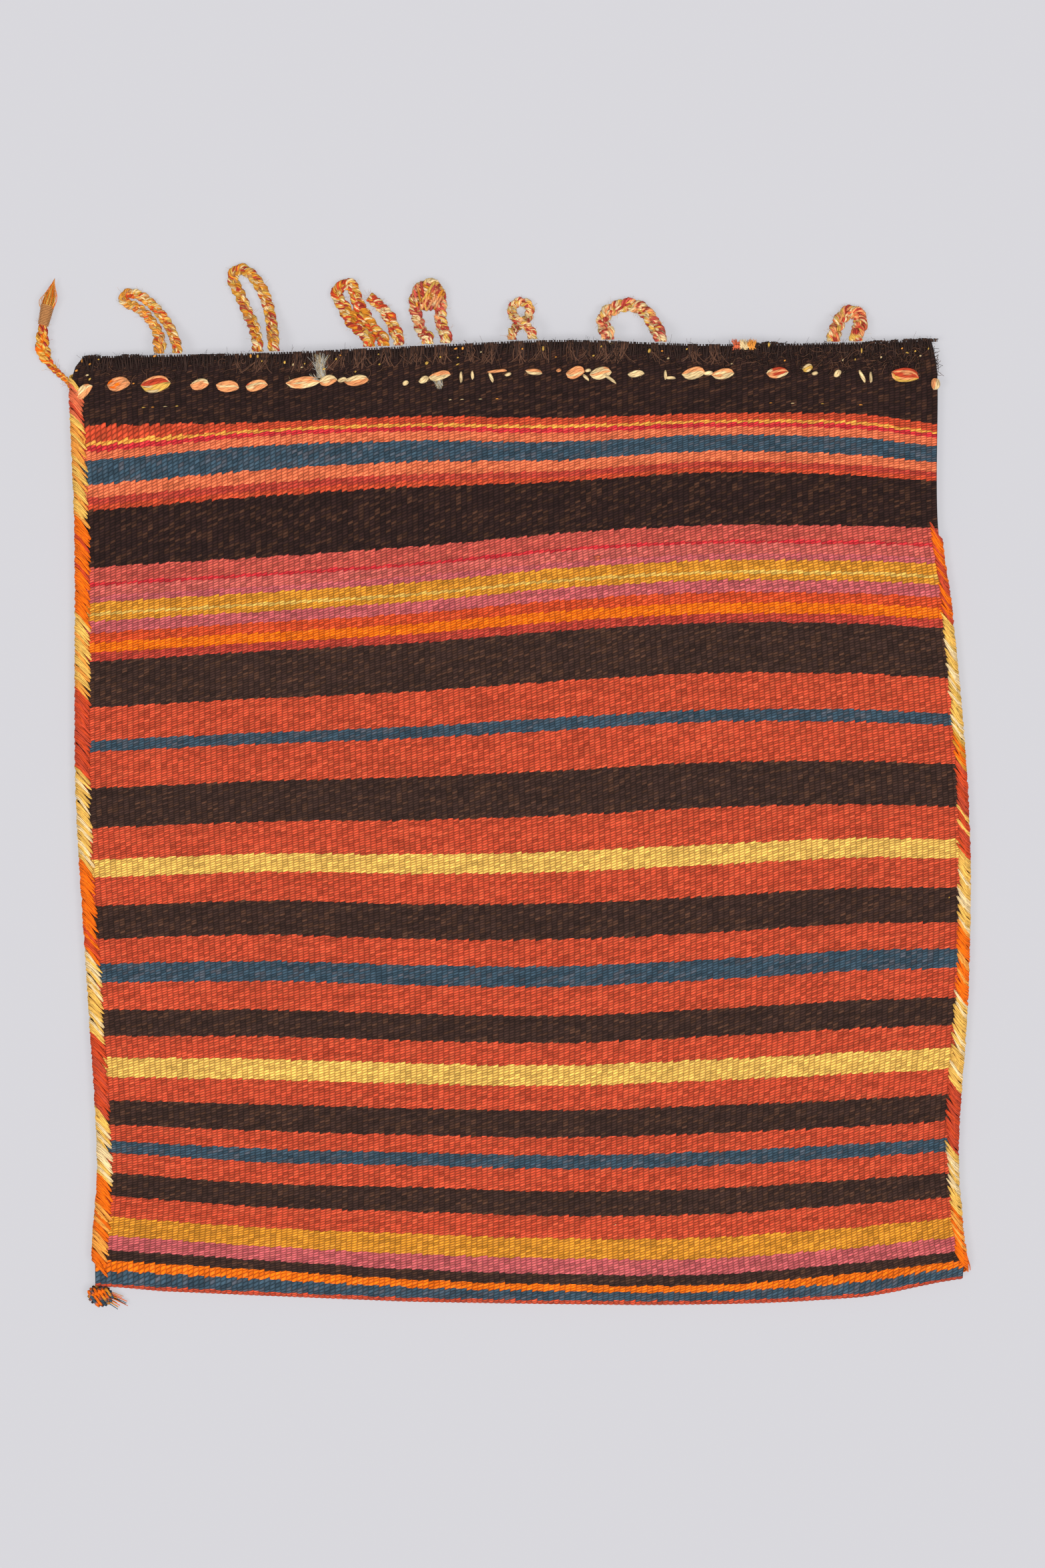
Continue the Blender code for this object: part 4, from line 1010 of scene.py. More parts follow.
def make_yarn_material(name, plies, twist_length, ply_depth, painted_ply_shade, roughness):
    """Wool yarn in its own dye, with plies, loose fibres and painted shade between the plies."""
    material, tree = new_material(name)
    colour = put(tree, "ShaderNodeAttribute", attribute_name="dye").outputs["Color"]
    twist = put(tree, "ShaderNodeGroup", node_tree=twist_group)
    twist.inputs["Plies"].default_value = plies
    twist.inputs["Twist Length"].default_value = twist_length
    along = put(tree, "ShaderNodeAttribute", attribute_name="along").outputs["Fac"]
    ring = put(tree, "ShaderNodeAttribute", attribute_name="ring").outputs["Vector"]
    lot = put(tree, "ShaderNodeAttribute", attribute_name="lot").outputs["Fac"]
    tree.links.new(along, twist.inputs["Along"])
    tree.links.new(ring, twist.inputs["Ring"])
    tree.links.new(lot, twist.inputs["Lot"])
    fibre = calc(tree, "MULTIPLY_ADD", twist.outputs["Fibre"], *FIBRE_SHADE)
    # Painted shade between the plies
    painted_gap_shade = calc(tree, "MULTIPLY_ADD", twist.outputs["Painted Gap Shade"], -painted_ply_shade, 1.0)
    tone = calc(tree, "MULTIPLY_ADD", lot, *YARN_LOT_SHADE)
    factor = calc(tree, "MULTIPLY", calc(tree, "MULTIPLY", fibre, painted_gap_shade), tone)
    wool_shader(tree, scale_colour(tree, colour, factor), twist.outputs["Height"], ply_depth, roughness)
    return material


def make_floor_material():
    material, tree = new_material("studio_floor")
    shader = tree.nodes["Principled BSDF"]
    shader.inputs["Base Color"].default_value = FLOOR_COLOUR
    shader.inputs["Emission Color"].default_value = FLOOR_GLOW
    shader.inputs["Emission Strength"].default_value = FLOOR_GLOW_STRENGTH
    shader.inputs["Roughness"].default_value = 1.0
    shader.inputs["Specular IOR Level"].default_value = 0.0
    return material


# The cloth


def cloth_rows():
    """Rows of the strip from the front's mouth edge round the fold to the back's.

    Each is (which part, distance from the mouth of its weft line, turn in the fold, distance
    along the strip, relief).
    """
    fold_down = FRONT_LENGTH - EDGE_TOP / 2.0
    rows = []
    front_steps = round(fold_down / ROW_LENGTH)
    for step in range(front_steps + 1):
        down = fold_down * step / front_steps
        rows.append(("front", down, 0.0, down, 1.0))
    arc = math.pi * EDGE_TOP / 2.0
    for step in range(1, FOLD_ROWS):
        share = step / FOLD_ROWS
        relief = 1.0 + (BACK_RELIEF - 1.0) * share
        rows.append(("fold", fold_down, math.pi * share, fold_down + arc * share, relief))
    back_steps = round(fold_down / BACK_ROW_LENGTH)
    for step in range(back_steps + 1):
        down = fold_down * (1.0 - step / back_steps)
        rows.append(("back", down, 0.0, fold_down + arc + fold_down - down, BACK_RELIEF))
    return rows


def cloth_point(row, share, inward):
    """A point of the strip, `inward` from its outer face, at a share of the way across."""
    part, down, turn, _, _ = row
    left, right = line_ends(down)
    x = left + (right - left) * share
    y = weft_y(down, x)
    low = back_z(x, left, right) + BACK_BED_DEPTH + inward
    high = front_z(x, down, left, right) - BED_DEPTH - inward
    if part == "front":
        return Vector((x, y, high))
    if part == "back":
        return Vector((x, y, low))
    radius = (high - low) / 2.0
    return Vector((x, y - radius * math.sin(turn), low + radius + radius * math.cos(turn)))


def make_cloth(material):
    """The one strip of cloth, closed: ribbed outer face, plain inner face and rims."""
    rows = cloth_rows()
    columns = RIBS * COLUMNS_PER_RIB
    inner_columns = columns // INNER_COLUMN_STEP
    points, weave, relief = [], [], []
    for inward, count in ((0.0, columns), (CLOTH, inner_columns)):
        for number, row in enumerate(rows):
            at_mouth = number in (0, len(rows) - 1)
            for column in range(count + 1):
                share = column / count
                points.append(cloth_point(row, share, inward))
                weave.extend((share * RIBS, row[3], 0.0))
                at_rim = inward or at_mouth or column in (0, count)
                relief.append(0.0 if at_rim else row[4])
    wide, narrow = columns + 1, inner_columns + 1
    inner_first = wide * len(rows)
    faces = []
    for r in range(len(rows) - 1):
        for c in range(columns):
            a = r * wide + c
            faces.append((a, a + wide, a + wide + 1, a + 1))
        for c in range(inner_columns):
            a = inner_first + r * narrow + c
            faces.append((a, a + 1, a + narrow + 1, a + narrow))
        outer, inner = r * wide, inner_first + r * narrow
        faces.append((outer, inner, inner + narrow, outer + wide))
        outer, inner = outer + columns, inner + inner_columns
        faces.append((outer, outer + wide, inner + narrow, inner))
    last_outer, last_inner = (len(rows) - 1) * wide, inner_first + (len(rows) - 1) * narrow
    for c in range(inner_columns):
        first = c * INNER_COLUMN_STEP
        span = list(range(first, first + INNER_COLUMN_STEP + 1))
        faces.append((*span, inner_first + c + 1, inner_first + c))
        back = [last_outer + k for k in reversed(span)]
        faces.append((*back, last_inner + c, last_inner + c + 1))
    mesh = bpy.data.meshes.new("cloth_strip")
    mesh.from_pydata(points, [], faces)
    mesh.attributes.new("weave", "FLOAT_VECTOR", "POINT").data.foreach_set("vector", weave)
    mesh.attributes.new("relief", "FLOAT", "POINT").data.foreach_set("value", relief)
    mesh.shade_smooth()
    worker = add_object("cloth_strip", mesh)
    modifier = worker.modifiers.new("ribs", "NODES")
    modifier.node_group = rib_tree
    set_inputs(modifier, {"Material": material})
    cloth = settled(worker, "woven_cloth")
    fit(cloth, "striped_cloth", "bag_cloth")
    across = [cloth_point(rows[WIDTH_ROW], step / WIDTH_STEPS, 0.0) for step in range(WIDTH_STEPS + 1)]


# Side seams


def seam_stitches(side, y_top, y_bottom, dyes, chance):
    """Steep stitches of one run, each a few strands wrapped over both edges of the cloth."""
    edge = left_edge if side == "left" else right_edge
    inward = 1.0 if side == "left" else -1.0
    count = round((y_top - y_bottom) / SEAM_PITCH)
    yarns = []
    for number in range(count):
        middle = y_top + (y_bottom - y_top) * (number + 0.5 + chance.uniform(-0.15, 0.15)) / count
        depth = SEAM_DEPTH[side] * chance.uniform(0.85, 1.15)
        drop = chance.uniform(*SEAM_DROP) * MM
        colour = tinted(chance.choice(dyes), 0.95, 1.12, chance)
        for strand in range(SEAM_STRANDS):
            apart = (strand - (SEAM_STRANDS - 1) / 2.0) * SEAM_PITCH / SEAM_STRANDS
            y = middle + inward * drop / 2.0 + apart
            x = edge(y)
            out = x - inward * chance.uniform(*SEAM_OUTSIDE) * MM
            reach = depth * chance.uniform(0.92, 1.04)

            def over(share, lift):
                place_x = x + inward * reach * share
                place_y = y - inward * drop * share - apart * 0.75 * share
                return Vector((place_x, place_y, top_over(place_x, place_y) + lift))

            points = [
                over(1.0, -0.3 * MM), over(0.8, 0.8 * MM), over(0.45, 1.15 * MM), over(0.12, 0.8 * MM),
                Vector((out, y + inward * 1.0 * MM, EDGE_TOP - 1.6 * MM)),
                Vector((out, y + inward * 2.4 * MM, EDGE_LIFT + 1.4 * MM)),
                Vector((x + inward * 1.4 * MM, y + inward * 4.0 * MM, EDGE_LIFT - 0.5 * MM)),
                Vector((x + inward * 5.0 * MM, y + inward * 6.0 * MM, EDGE_LIFT - 0.2 * MM)),
            ]
            radius = chance.uniform(*SEAM_YARN) * MM
            radii = [0.3 * radius] + [radius] * (len(points) - 2) + [0.6 * radius]
            tone = shade(colour, chance.uniform(0.9, 1.1))
            yarns.append(Yarn(points, radii, tone, chance.random()))
    return yarns


def slot_of(node):
    """The record's slot of the yarn of one run of a seam."""
    for word, slot in (("cream", "cream_wool"), ("yellow", "yellow_wool"), ("amber", "yellow_wool"),
                       ("orange", "orange_wool"), ("plait", "orange_wool")):
        if word in node:
            return slot
    return "red_wool"


def make_seams():
    """Both side seams, run by run from the mouth down."""
    chance = random.Random(11)
    for side, top, runs in (("left", LEFT_SEAM_TOP, LEFT_RUNS), ("right", RIGHT_SEAM_TOP, RIGHT_RUNS)):
        y = top
        for node, dyes, length in runs:
            yarns = seam_stitches(side, y, y - length * MM, dyes, chance)
            slot = slot_of(node)
            piece = sweep(node + "_stitches", yarns, wool[slot], sides=5)
            fit(piece, slot, node)
            y -= length * MM


# Hem, laced yarn and loose wool


def on_front(x, down, lift):
    """A point above the front, at a place across and a distance from the mouth."""
    return Vector((x, weft_y(down, x), top_at(x, down) + lift))


def lying_on_front(x, y, lift):
    return Vector((x, y, top_over(x, y) + lift))


def hair_over_mouth(x, depth, lean, radius, colour, lot, bend=0.0):
    """One strand of goat hair sewn over the front's mouth edge."""
    edge = on_front(x, 0.0, 0.0)
    points = [
        on_front(x + (lean + bend) * depth, depth, -0.2 * MM),
        on_front(x + (0.8 * lean + 0.5 * bend) * depth, depth * 0.8, 0.5 * MM),
        on_front(x + (0.4 * lean - 0.1 * bend) * depth, depth * 0.4, 0.7 * MM),
        on_front(x, 0.8 * MM, 0.4 * MM),
        edge + Vector((0.0, 0.9 * MM, -0.5 * MM)),
        edge + Vector((0.0, 0.8 * MM, -2.4 * MM)),
        edge + Vector((0.0, -1.6 * MM, -3.4 * MM)),
    ]
    return Yarn(points, radius, colour, lot)


def overcast_hair(left, right, chance):
    """Dark strands all along the mouth edge."""
    strands = []
    x = left + 0.6 * MM
    while x < right - 0.6 * MM:
        depth = HAIR_DEPTH * chance.uniform(0.35, 1.0)
        colour = tinted("goat", 0.8, 1.5, chance)
        strands.append(hair_over_mouth(x, depth, chance.gauss(0.0, 0.12), chance.uniform(0.35, 0.55) * MM,
                                       colour, chance.random()))
        x += HAIR_STEP * chance.uniform(0.5, 1.3)
    return strands


def clustered_hair(start, end, chance):
    """Finer brown strands that stand close together from one place to another."""
    strands = []
    x = start
    lean = chance.gauss(0.0, 0.15)
    while x <= end:
        depth = HAIR_DEPTH * chance.uniform(0.85, 1.2)
        colour = tinted("brown_goat", 0.75, 1.3, chance)
        strands.append(hair_over_mouth(x, depth, lean + chance.gauss(0.0, 0.1),
                                       chance.uniform(0.2, 0.34) * MM, colour, chance.random(),
                                       chance.gauss(0.0, 0.28)))
        x += CLUSTER_STEP * chance.uniform(0.8, 1.2)
    return strands


def strewn_hair(left, right, chance):
    """Curled loose hairs that lie on the hem, thickest where it is matted."""
    loose = []
    for _ in range(LOOSE_HAIRS):
        matted = chance.random() < 0.5
        x = chance.uniform(MATTED_FROM * MM if matted else left, right - 2.0 * MM)
        down = HAIR_DEPTH * chance.uniform(0.0, 1.4)
        turn = chance.uniform(0.0, math.tau)
        curl = chance.gauss(0.0, 1.0)
        length = chance.uniform(3.0, 9.0) * MM
        place, line = on_front(x, down, 0.0), []
        for _ in range(HAIR_POINTS):
            line.append(lying_on_front(place.x, place.y, chance.uniform(0.7, 1.3) * MM))
            place.x += math.cos(turn) * length / (HAIR_POINTS - 1)
            place.y += math.sin(turn) * length / (HAIR_POINTS - 1)
            turn += curl * 0.5
        colour = tinted("brown_goat" if chance.random() < 0.4 else "goat", 0.8, 1.4, chance)
        inside = all(left < point.x < right for point in line)
        if inside and max(point.y - weft_y(0.0, point.x) for point in line) < HAIR_OUTSIDE:
            loose.append(Yarn(line, chance.uniform(0.12, 0.24) * MM, colour, chance.random()))
    return loose


def make_front_hem():
    """Goat hair over the mouth edge, brown where it stands in clusters, with loose ends."""
    chance = random.Random(41)
    left, right = line_ends(0.0)
    strands = overcast_hair(left, right, chance)
    for start, end in HAIR_CLUSTERS:
        strands += clustered_hair(start * MM, end * MM, chance)
    hem = sweep("front_mouth_hair", strands, wool["goat_hair"], sides=5)
    fit(hem, "goat_hair", "front_mouth_overcast")

    loose = strewn_hair(left, right, chance)
    edge = [on_front(left + (right - left) * k / 400.0, 0.0, chance.uniform(-2.0, 0.4) * MM)
            for k in range(401)]
    loose += fuzz(edge, HAIR_REACH, EDGE_HAIRS, GOAT_DYES, chance, 0.07 * MM)
    corner = [lying_on_front(right_edge(y * MM) - 0.8 * MM, y * MM, -1.6 * MM) for y in range(*WORN_CORNER)]
    loose += fuzz(corner, HAIR_REACH, CORNER_HAIRS, GOAT_DYES, chance, 0.15 * MM)
    for start, end, height in FRAYED:
        loose += frayed_wool(start * MM, end * MM, height * MM, chance)
    fit(sweep("front_loose_hair", loose, wool["goat_hair"]), "goat_hair")


def frayed_wool(start, end, height, chance):
    """Short curled ends of hair, matted in small locks along a length of the mouth edge."""
    ends = []
    x = start
    while x < end:
        lock = height * chance.uniform(0.3, 1.0)
        lean = chance.gauss(0.0, 0.7)
        for _ in range(LOCK_HAIRS):
            root = on_front(x + chance.gauss(0.0, 0.7) * MM, 0.0, 0.0) + Vector((0.0, -0.5, -1.2)) * MM
            reach = lock * chance.uniform(0.6, 1.0)
            curl = chance.gauss(0.0, 0.8) * MM
            line = [
                root,
                root + Vector((0.3 * lean * reach, 1.0 * MM + 0.4 * reach, 0.4 * MM)),
                root + Vector((0.7 * lean * reach + curl, 1.2 * MM + 0.9 * reach, 0.2 * MM)),
                root + Vector((lean * reach + 0.4 * curl, 0.9 * MM + reach, -0.6 * MM)),
            ]
            colour = tinted("brown_goat" if chance.random() < 0.3 else "goat", 0.7, 1.2, chance)
            ends.append(Yarn(line, chance.uniform(0.16, 0.3) * MM, colour, chance.random()))
        x += chance.uniform(0.9, 2.0) * MM
    return ends


def make_back_hem():
    """The same hair over the back's mouth edge, seen only from inside the mouth."""
    chance = random.Random(43)
    left, right = line_ends(0.0)
    x, end = left + BACK_HEM_INSET, right - BACK_HEM_INSET
    inner = CLOTH + BACK_BED_DEPTH
    strands = []
    while x < end:
        y = weft_y(0.0, x)
        depth = HAIR_DEPTH * chance.uniform(0.7, 1.0)
        section = ((y - depth, inner + 0.1 * MM), (y - 1.0 * MM, inner + 0.6 * MM),
                   (y + 0.8 * MM, inner - 0.6 * MM), (y + 0.8 * MM, 1.3 * MM), (y - 1.6 * MM, 0.7 * MM))
        colour = tinted("goat", 0.8, 1.5, chance)
        strands.append(Yarn([Vector((x, *point)) for point in section], chance.uniform(0.4, 0.6) * MM,
                            colour, chance.random()))
        x += HAIR_STEP * chance.uniform(0.7, 1.2)
    fit(sweep("back_mouth_hair", strands, wool["goat_hair"], sides=5), "goat_hair", "back_mouth_overcast")


def lens_float(x, y, length, height, lean, dyes, chance):
    """One float of the laced yarn: strands that spread in the middle and meet at both ends."""
    strands = max(1, round(height / LENS_STRAND))
    ahead = heading(math.radians(lean))
    across = Vector((-ahead.y, ahead.x, 0.0))
    yarns = []
    for strand in range(strands):
        aside = (strand + 0.5) / strands - 0.5
        slip = chance.uniform(-0.08, 0.08)
        line, radii = [], []
        for step in range(LENS_STEPS + 1):
            share = step / LENS_STEPS
            swell = math.sin(math.pi * share) ** 0.55
            along = (share - 0.5 + slip * swell) * length
            place = Vector((x, y, 0.0)) + ahead * along - across * aside * swell * height
            place += across * 0.35 * height * (share - 0.5) * swell
            lift = (0.2 + 1.5 * swell * (1.0 - 1.4 * aside * aside)) * MM
            line.append(lying_on_front(place.x * MM, place.y * MM, lift))
            radii.append(height / strands * (0.24 + 0.4 * swell) * MM)
        pick = min(int((strand + 0.5) / strands * len(dyes)), len(dyes) - 1)
        colours = mottled((dyes[pick], dyes[pick], chance.choice(dyes)), len(line), MOTTLE_RUN, chance)
        yarns.append(Yarn(line, radii, colours, chance.random()))
    return yarns


def plume(x, y, length, way, count, chance):
    """Fine pale hairs that spread from one foot and lie on the front."""
    hairs = []
    for _ in range(count):
        turn = math.radians(way + chance.gauss(0.0, 4.0))
        curl = chance.gauss(0.0, 0.09)
        reach = length * chance.uniform(0.45, 1.0)
        place, line = Vector((x + chance.gauss(0.0, 1.0), y, 0.0)), []
        for _ in range(HAIR_POINTS):
            line.append(lying_on_front(place.x * MM, place.y * MM, (0.9 + chance.uniform(0.0, 0.8)) * MM))
            place += heading(turn) * reach / (HAIR_POINTS - 1)
            turn += curl
        colour = tinted(chance.choice(("cream", "white", "white")), 0.9, 1.1, chance)
        hairs.append(Yarn(line, PLUME_HAIR, colour, chance.random()))
    return hairs


def make_lace():
    """The yarn laced along the front, and the pale wool caught in the hem above it."""
    chance = random.Random(47)
    floats, centres = [], []
    for x, y, length, height, lean, dyes in LACE:
        floats += lens_float(x, y, length, height, lean, dyes, chance)
        if height > WIDE_LENS:
            centres += [lying_on_front((x + k * length / 8.0) * MM, y * MM, 1.4 * MM) for k in range(-3, 4)]
    fit(sweep("laced_yarn", floats, wool["lacing_wool"]), "lacing_wool", "lacing_yarn")
    specks = []
    for x, y, length, thickness, lean in SPECKS:
        salmon = SALMON_BETWEEN[0] <= y <= SALMON_BETWEEN[1]
        dyes = ("salmon",) if salmon else (chance.choice(SPECK_DYES),)
        specks += lens_float(x, y, length * SPECK_SIZE, thickness * SPECK_SIZE, lean, dyes, chance)
    specks += fuzz(centres, 2.4 * MM, LENS_HAIRS, ("cream", "cream", "peach"), chance, 0.05 * MM)
    for row in PLUMES:
        specks += plume(*row, chance)
    fit(sweep("pale_wool_specks", specks, wool["cream_wool"]), "cream_wool")


def make_stub():
    """Matted fibres left of a loop that has worn off."""
    chance = random.Random(53)
    fibres = []
    for _ in range(STUB_FIBRES):
        share = chance.random()
        x = (STUB[0] + (STUB[1] - STUB[0]) * share) * MM
        out, down = STUB_OUT * chance.uniform(0.4, 1.0), STUB_DOWN * chance.uniform(0.3, 1.0)
        lean = chance.gauss(0.0, 1.2) * MM
        edge = on_front(x, 0.0, 0.0)
        points = [
            on_front(x - lean, down, 0.4 * MM),
            edge + Vector((0.0, -0.4 * MM, 1.0 * MM)),
            edge + Vector((lean * 0.5, 0.6 * out, chance.uniform(-1.6, 0.6) * MM)),
            edge + Vector((lean, out, chance.uniform(-3.0, -0.4) * MM)),
        ]
        yarn = "salmon" if share < 0.3 else "cream" if share < 0.66 else "amber"
        colour = tinted(yarn, 0.85, 1.1, chance)
        radius = chance.uniform(0.28, 0.5) * MM
        fibres.append(Yarn(points, [radius, radius, radius, 0.4 * radius], colour, chance.random()))
    fit(sweep("worn_stub_fibres", fibres, wool["pink_braid"], sides=5), "pink_braid", "worn_loop_stub")


def make_tufts():
    """Spare yarn left at the two bottom corners, as strands that part towards their ends."""
    chance = random.Random(59)
    left = line_ends(FRONT_LENGTH)[0]
    right_end = RIGHT_SEAM_TOP - sum(length for _, _, length in RIGHT_RUNS) * MM
    corners = {
        "left_corner_tassel": Vector((left, weft_y(FRONT_LENGTH, left), 0.0)),
        "right_corner_tuft": Vector((right_edge(right_end), right_end, 0.0)),
    }
    for name, (slot, dyes, radius, points) in CORNER_TUFTS.items():
        route = smooth_route([corners[name] + on_bag(point) for point in points], 3)
        strands = []
        for _ in range(round(5 * radius)):
            aside = Vector((chance.gauss(0.0, 0.42), chance.gauss(0.0, 0.42), chance.gauss(0.0, 0.34)))
            keep = chance.uniform(0.75, 1.0)
            line = []
            for k, point in enumerate(route):
                share = k / (len(route) - 1)
                spot = route[0].lerp(point, keep) + aside * radius * (0.7 + 0.5 * share) * MM
                spot.z = max(spot.z, TUFT_ABOVE_FLOOR)
                line.append(spot)
            colour = tinted(chance.choice(dyes), 0.8, 1.1, chance)
            width = chance.uniform(0.4, 0.65) * MM
            radii = [width * (1.0 - 0.6 * k / len(line)) for k in range(len(line))]
            strands.append(Yarn(line, radii, colour, chance.random()))
        if name == "left_corner_tassel":
            strands += ball(corners[name] + on_bag(TASSEL_KNOT), on_bag(TASSEL_KNOT_SIZE),
                            TASSEL_KNOT_STRANDS, TASSEL_KNOT_YARN, dyes, chance)
        fit(sweep(name + "_yarns", strands, wool[slot], sides=5), slot, name)


# Plaits


def even_route(points, step):
    """A route's points again, at even steps along it."""
    lengths = [0.0]
    for a, b in zip(points, points[1:]):
        lengths.append(lengths[-1] + (b - a).length)
    count = max(round(lengths[-1] / step), 2)
    route, k = [], 0
    for number in range(count + 1):
        at = lengths[-1] * number / count
        while k < len(points) - 2 and lengths[k + 1] < at:
            k += 1
        share = (at - lengths[k]) / max(lengths[k + 1] - lengths[k], 1e-9)
        route.append(points[k].lerp(points[k + 1], min(max(share, 0.0), 1.0)))
    return route


def frames(route):
    """A side and an up direction at each point of a route, the up one as near to +Z as it gets.

    Where the route rises steeply, the side direction goes on from the point before.
    """
    result = []
    side = Vector((1.0, 0.0, 0.0))
    for k in range(len(route)):
        ahead = (route[min(k + 1, len(route) - 1)] - route[max(k - 1, 0)]).normalized()
        across = ahead.cross(Vector((0.0, 0.0, 1.0)))
        if across.length > STEEP:
            side = across.normalized()
        side = (side - ahead * side.dot(ahead)).normalized()
        result.append((side, side.cross(ahead).normalized()))
    return result


def mottled(dyes, count, run, chance):
    """A colour for each point of a yarn spun from mixed wool, which changes every few points."""
    colours = []
    while len(colours) < count:
        colour = tinted(chance.choice(dyes), 0.7, 1.15, chance)
        colours += [colour] * chance.randint(run // 2, run)
    return colours[:count]


def plait(points, widths, dyes, chance, cycle):
    """Three strands of twisted plies, plaited along a route of the given half widths."""
    route = even_route(points, PLAIT_STEP)
    axes = frames(route)
    shares = [k / (len(route) - 1) for k in range(len(route))]
    half = [between(widths, share) for share in shares]
    turn = [0.0]
    for k in range(1, len(route)):
        turn.append(turn[-1] + (route[k] - route[k - 1]).length / (cycle * half[k]))
    yarns = []
    for strand in range(3):
        for ply in range(PLAIT_PLIES):
            line, radii = [], []
            start = chance.random()
            for k, (side, up) in enumerate(axes):
                phase = math.tau * (turn[k] + strand / 3.0)
                centre = side * math.sin(phase) * STRAND_SIDEWAYS
                centre += up * math.sin(2.0 * phase) * STRAND_UPWARDS
                wound = math.tau * (PLY_TWIST * turn[k] + ply / PLAIT_PLIES + start * 0.12)
                out = PLY_OUT + PLY_STRAY * math.sin(7.0 * wound + 20.0 * start)
                around = side * math.cos(wound) * out + up * math.sin(wound) * out * PLY_FLATNESS
                line.append(route[k] + (centre + around) * half[k])
                radii.append(half[k] * PLY_RADIUS)
            colours = mottled(dyes, len(line), MOTTLE_RUN, chance)
            yarns.append(Yarn(line, radii, colours, chance.random()))
    return yarns


def fuzz(points, reach, count, dyes, chance, radius=0.05 * MM, clear=0.0):
    """Fine loose hairs that stand off a route, from `clear` away from it."""
    hairs = []
    for _ in range(count):
        aim = Vector((chance.gauss(0, 1), chance.gauss(0, 1), chance.gauss(0, 0.7))).normalized()
        start = chance.choice(points) + aim * clear
        bend = Vector((chance.gauss(0, 1), chance.gauss(0, 1), chance.gauss(0, 0.7))) * 1.1
        length = reach * chance.uniform(0.5, 1.0)
        line = []
        for step in range(4):
            share = step / 3.0
            point = start + aim * length * share + bend * length * share ** 2 * 0.5
            point.z = max(point.z, FUZZ_ABOVE_FLOOR)
            line.append(point)
        colour = tinted(chance.choice(dyes), 0.9, 1.2, chance)
        hairs.append(Yarn(line, radius, colour, chance.random()))
    return hairs


def ball(middle, size, layers, radius, dyes, chance):
    """Yarns wound over a ball, in layers as those of KNOT_STRANDS."""
    yarns = []
    for way, low, high, strands, larger in layers:
        ahead = heading(math.radians(way))
        aside = Vector((-ahead.y, ahead.x, 0.0))
        for strand in range(strands):
            off = low + (high - low) * strand / max(strands - 1, 1)
            line = []
            for step in range(17):
                angle = math.tau * step / 16.0
                ring = ahead * math.cos(angle) + Vector((0.0, 0.0, math.sin(angle)))
                line.append(middle + (ring * math.sqrt(1.0 - off * off) + aside * off) * size * larger)
            colours = mottled(dyes, len(line), KNOT_MOTTLE_RUN, chance)
            yarns.append(Yarn(line, radius * chance.uniform(0.85, 1.1), colours, chance.random()))
    return yarns


def sewn_seat(x):
    """Where a plait's end is sewn to the mouth edge."""
    return Vector((x, weft_y(0.0, x) + SEWN_ABOVE_MOUTH, top_at(x, 0.0) - CLOTH / 2.0))


def loop_route(ends, middle):
    """A loop's route, as the CAD's tube follows it."""
    seats = [sewn_seat(end * MM) for end in ends if end is not None]
    leads = [seat + Vector((0.0, LOOP_LEAD, 0.0)) for seat in seats]
    free = [on_bag(point) for point in middle]
    route = smooth_route([*leads[:-1], *free, leads[-1]], 6)
    return [*seats[:-1], *route, seats[-1]]


def make_loops():
    """Plaited closing loops along the mouth, each a cord that goes back into the edge."""
    chance = random.Random(23)
    strays = {"gold_braid": [], "pink_braid": []}
    for name, (radius, slot, dyes, swells, ends, middle) in LOOPS.items():
        route = loop_route(ends, middle)
        widths = [(0.0, radius * MM)]
        for share in (0.02 * k for k in range(1, SWELL_STEPS)):
            swell = sum((times - 1.0) * max(0.0, 1.0 - abs(share - at) / SWELL_REACH)
                        for at, times in swells)
            widths.append((share, radius * MM * (1.0 + swell)))
        widths.append((1.0, radius * MM))
        piece = sweep(name + "_plait", plait(route, widths, dyes, chance, LOOP_CYCLE), wool[slot])
        fit(piece, slot, name)
        even = even_route(route, CORD_STEP)
        strays[slot] += fuzz(even, 2.6 * MM, 260, ("straw", "cream", "peach"), chance, 0.05 * MM,
                             0.8 * radius * MM)
    wound = ball(on_bag(KNOT), on_bag(KNOT_SIZE), KNOT_STRANDS, KNOT_YARN, KNOT_DYES, chance)
    tops = [yarn.points[4] for yarn in wound]
    strays["pink_braid"] += fuzz(tops, 3.0 * MM, 120, ("cream", "peach"), chance, 0.06 * MM)
    fit(sweep("mouth_loop_4_knot", wound, wool["pink_braid"]), "pink_braid")
    for slot, hairs in strays.items():
        fit(sweep(slot + "_fuzz", hairs, wool[slot]), slot)


def binding_yarns():
    """The thread wound round the end of the tail, and the bound wool under it."""
    thinnest, thickest = WHIP_RADIUS
    across = Vector((WHIP_TOWARDS.y, -WHIP_TOWARDS.x, 0.0))
    up = Vector((0.0, 0.0, 1.0))
    turn_points = WHIP_TURNS * WHIP_TURN_STEPS
    line = []
    for step in range(turn_points + 1):
        turn = math.tau * step / WHIP_TURN_STEPS
        along = WHIP_LENGTH * step / turn_points
        ring = across * math.cos(turn) + up * math.sin(turn)
        radius = thinnest + (thickest - thinnest) * along / WHIP_LENGTH
        line.append(WHIP_START + WHIP_TOWARDS * along + ring * radius)
    core = even_route([WHIP_START, WHIP_START + WHIP_TOWARDS * WHIP_LENGTH], MM)
    steps = len(core) - 1
    inner = [thinnest + (thickest - thinnest) * k / steps - 0.2 * MM for k in range(steps + 1)]
    return [Yarn(core, inner, dye("thread"), 0.7), Yarn(line, WHIP_THREAD, dye("thread"), 0.4)]


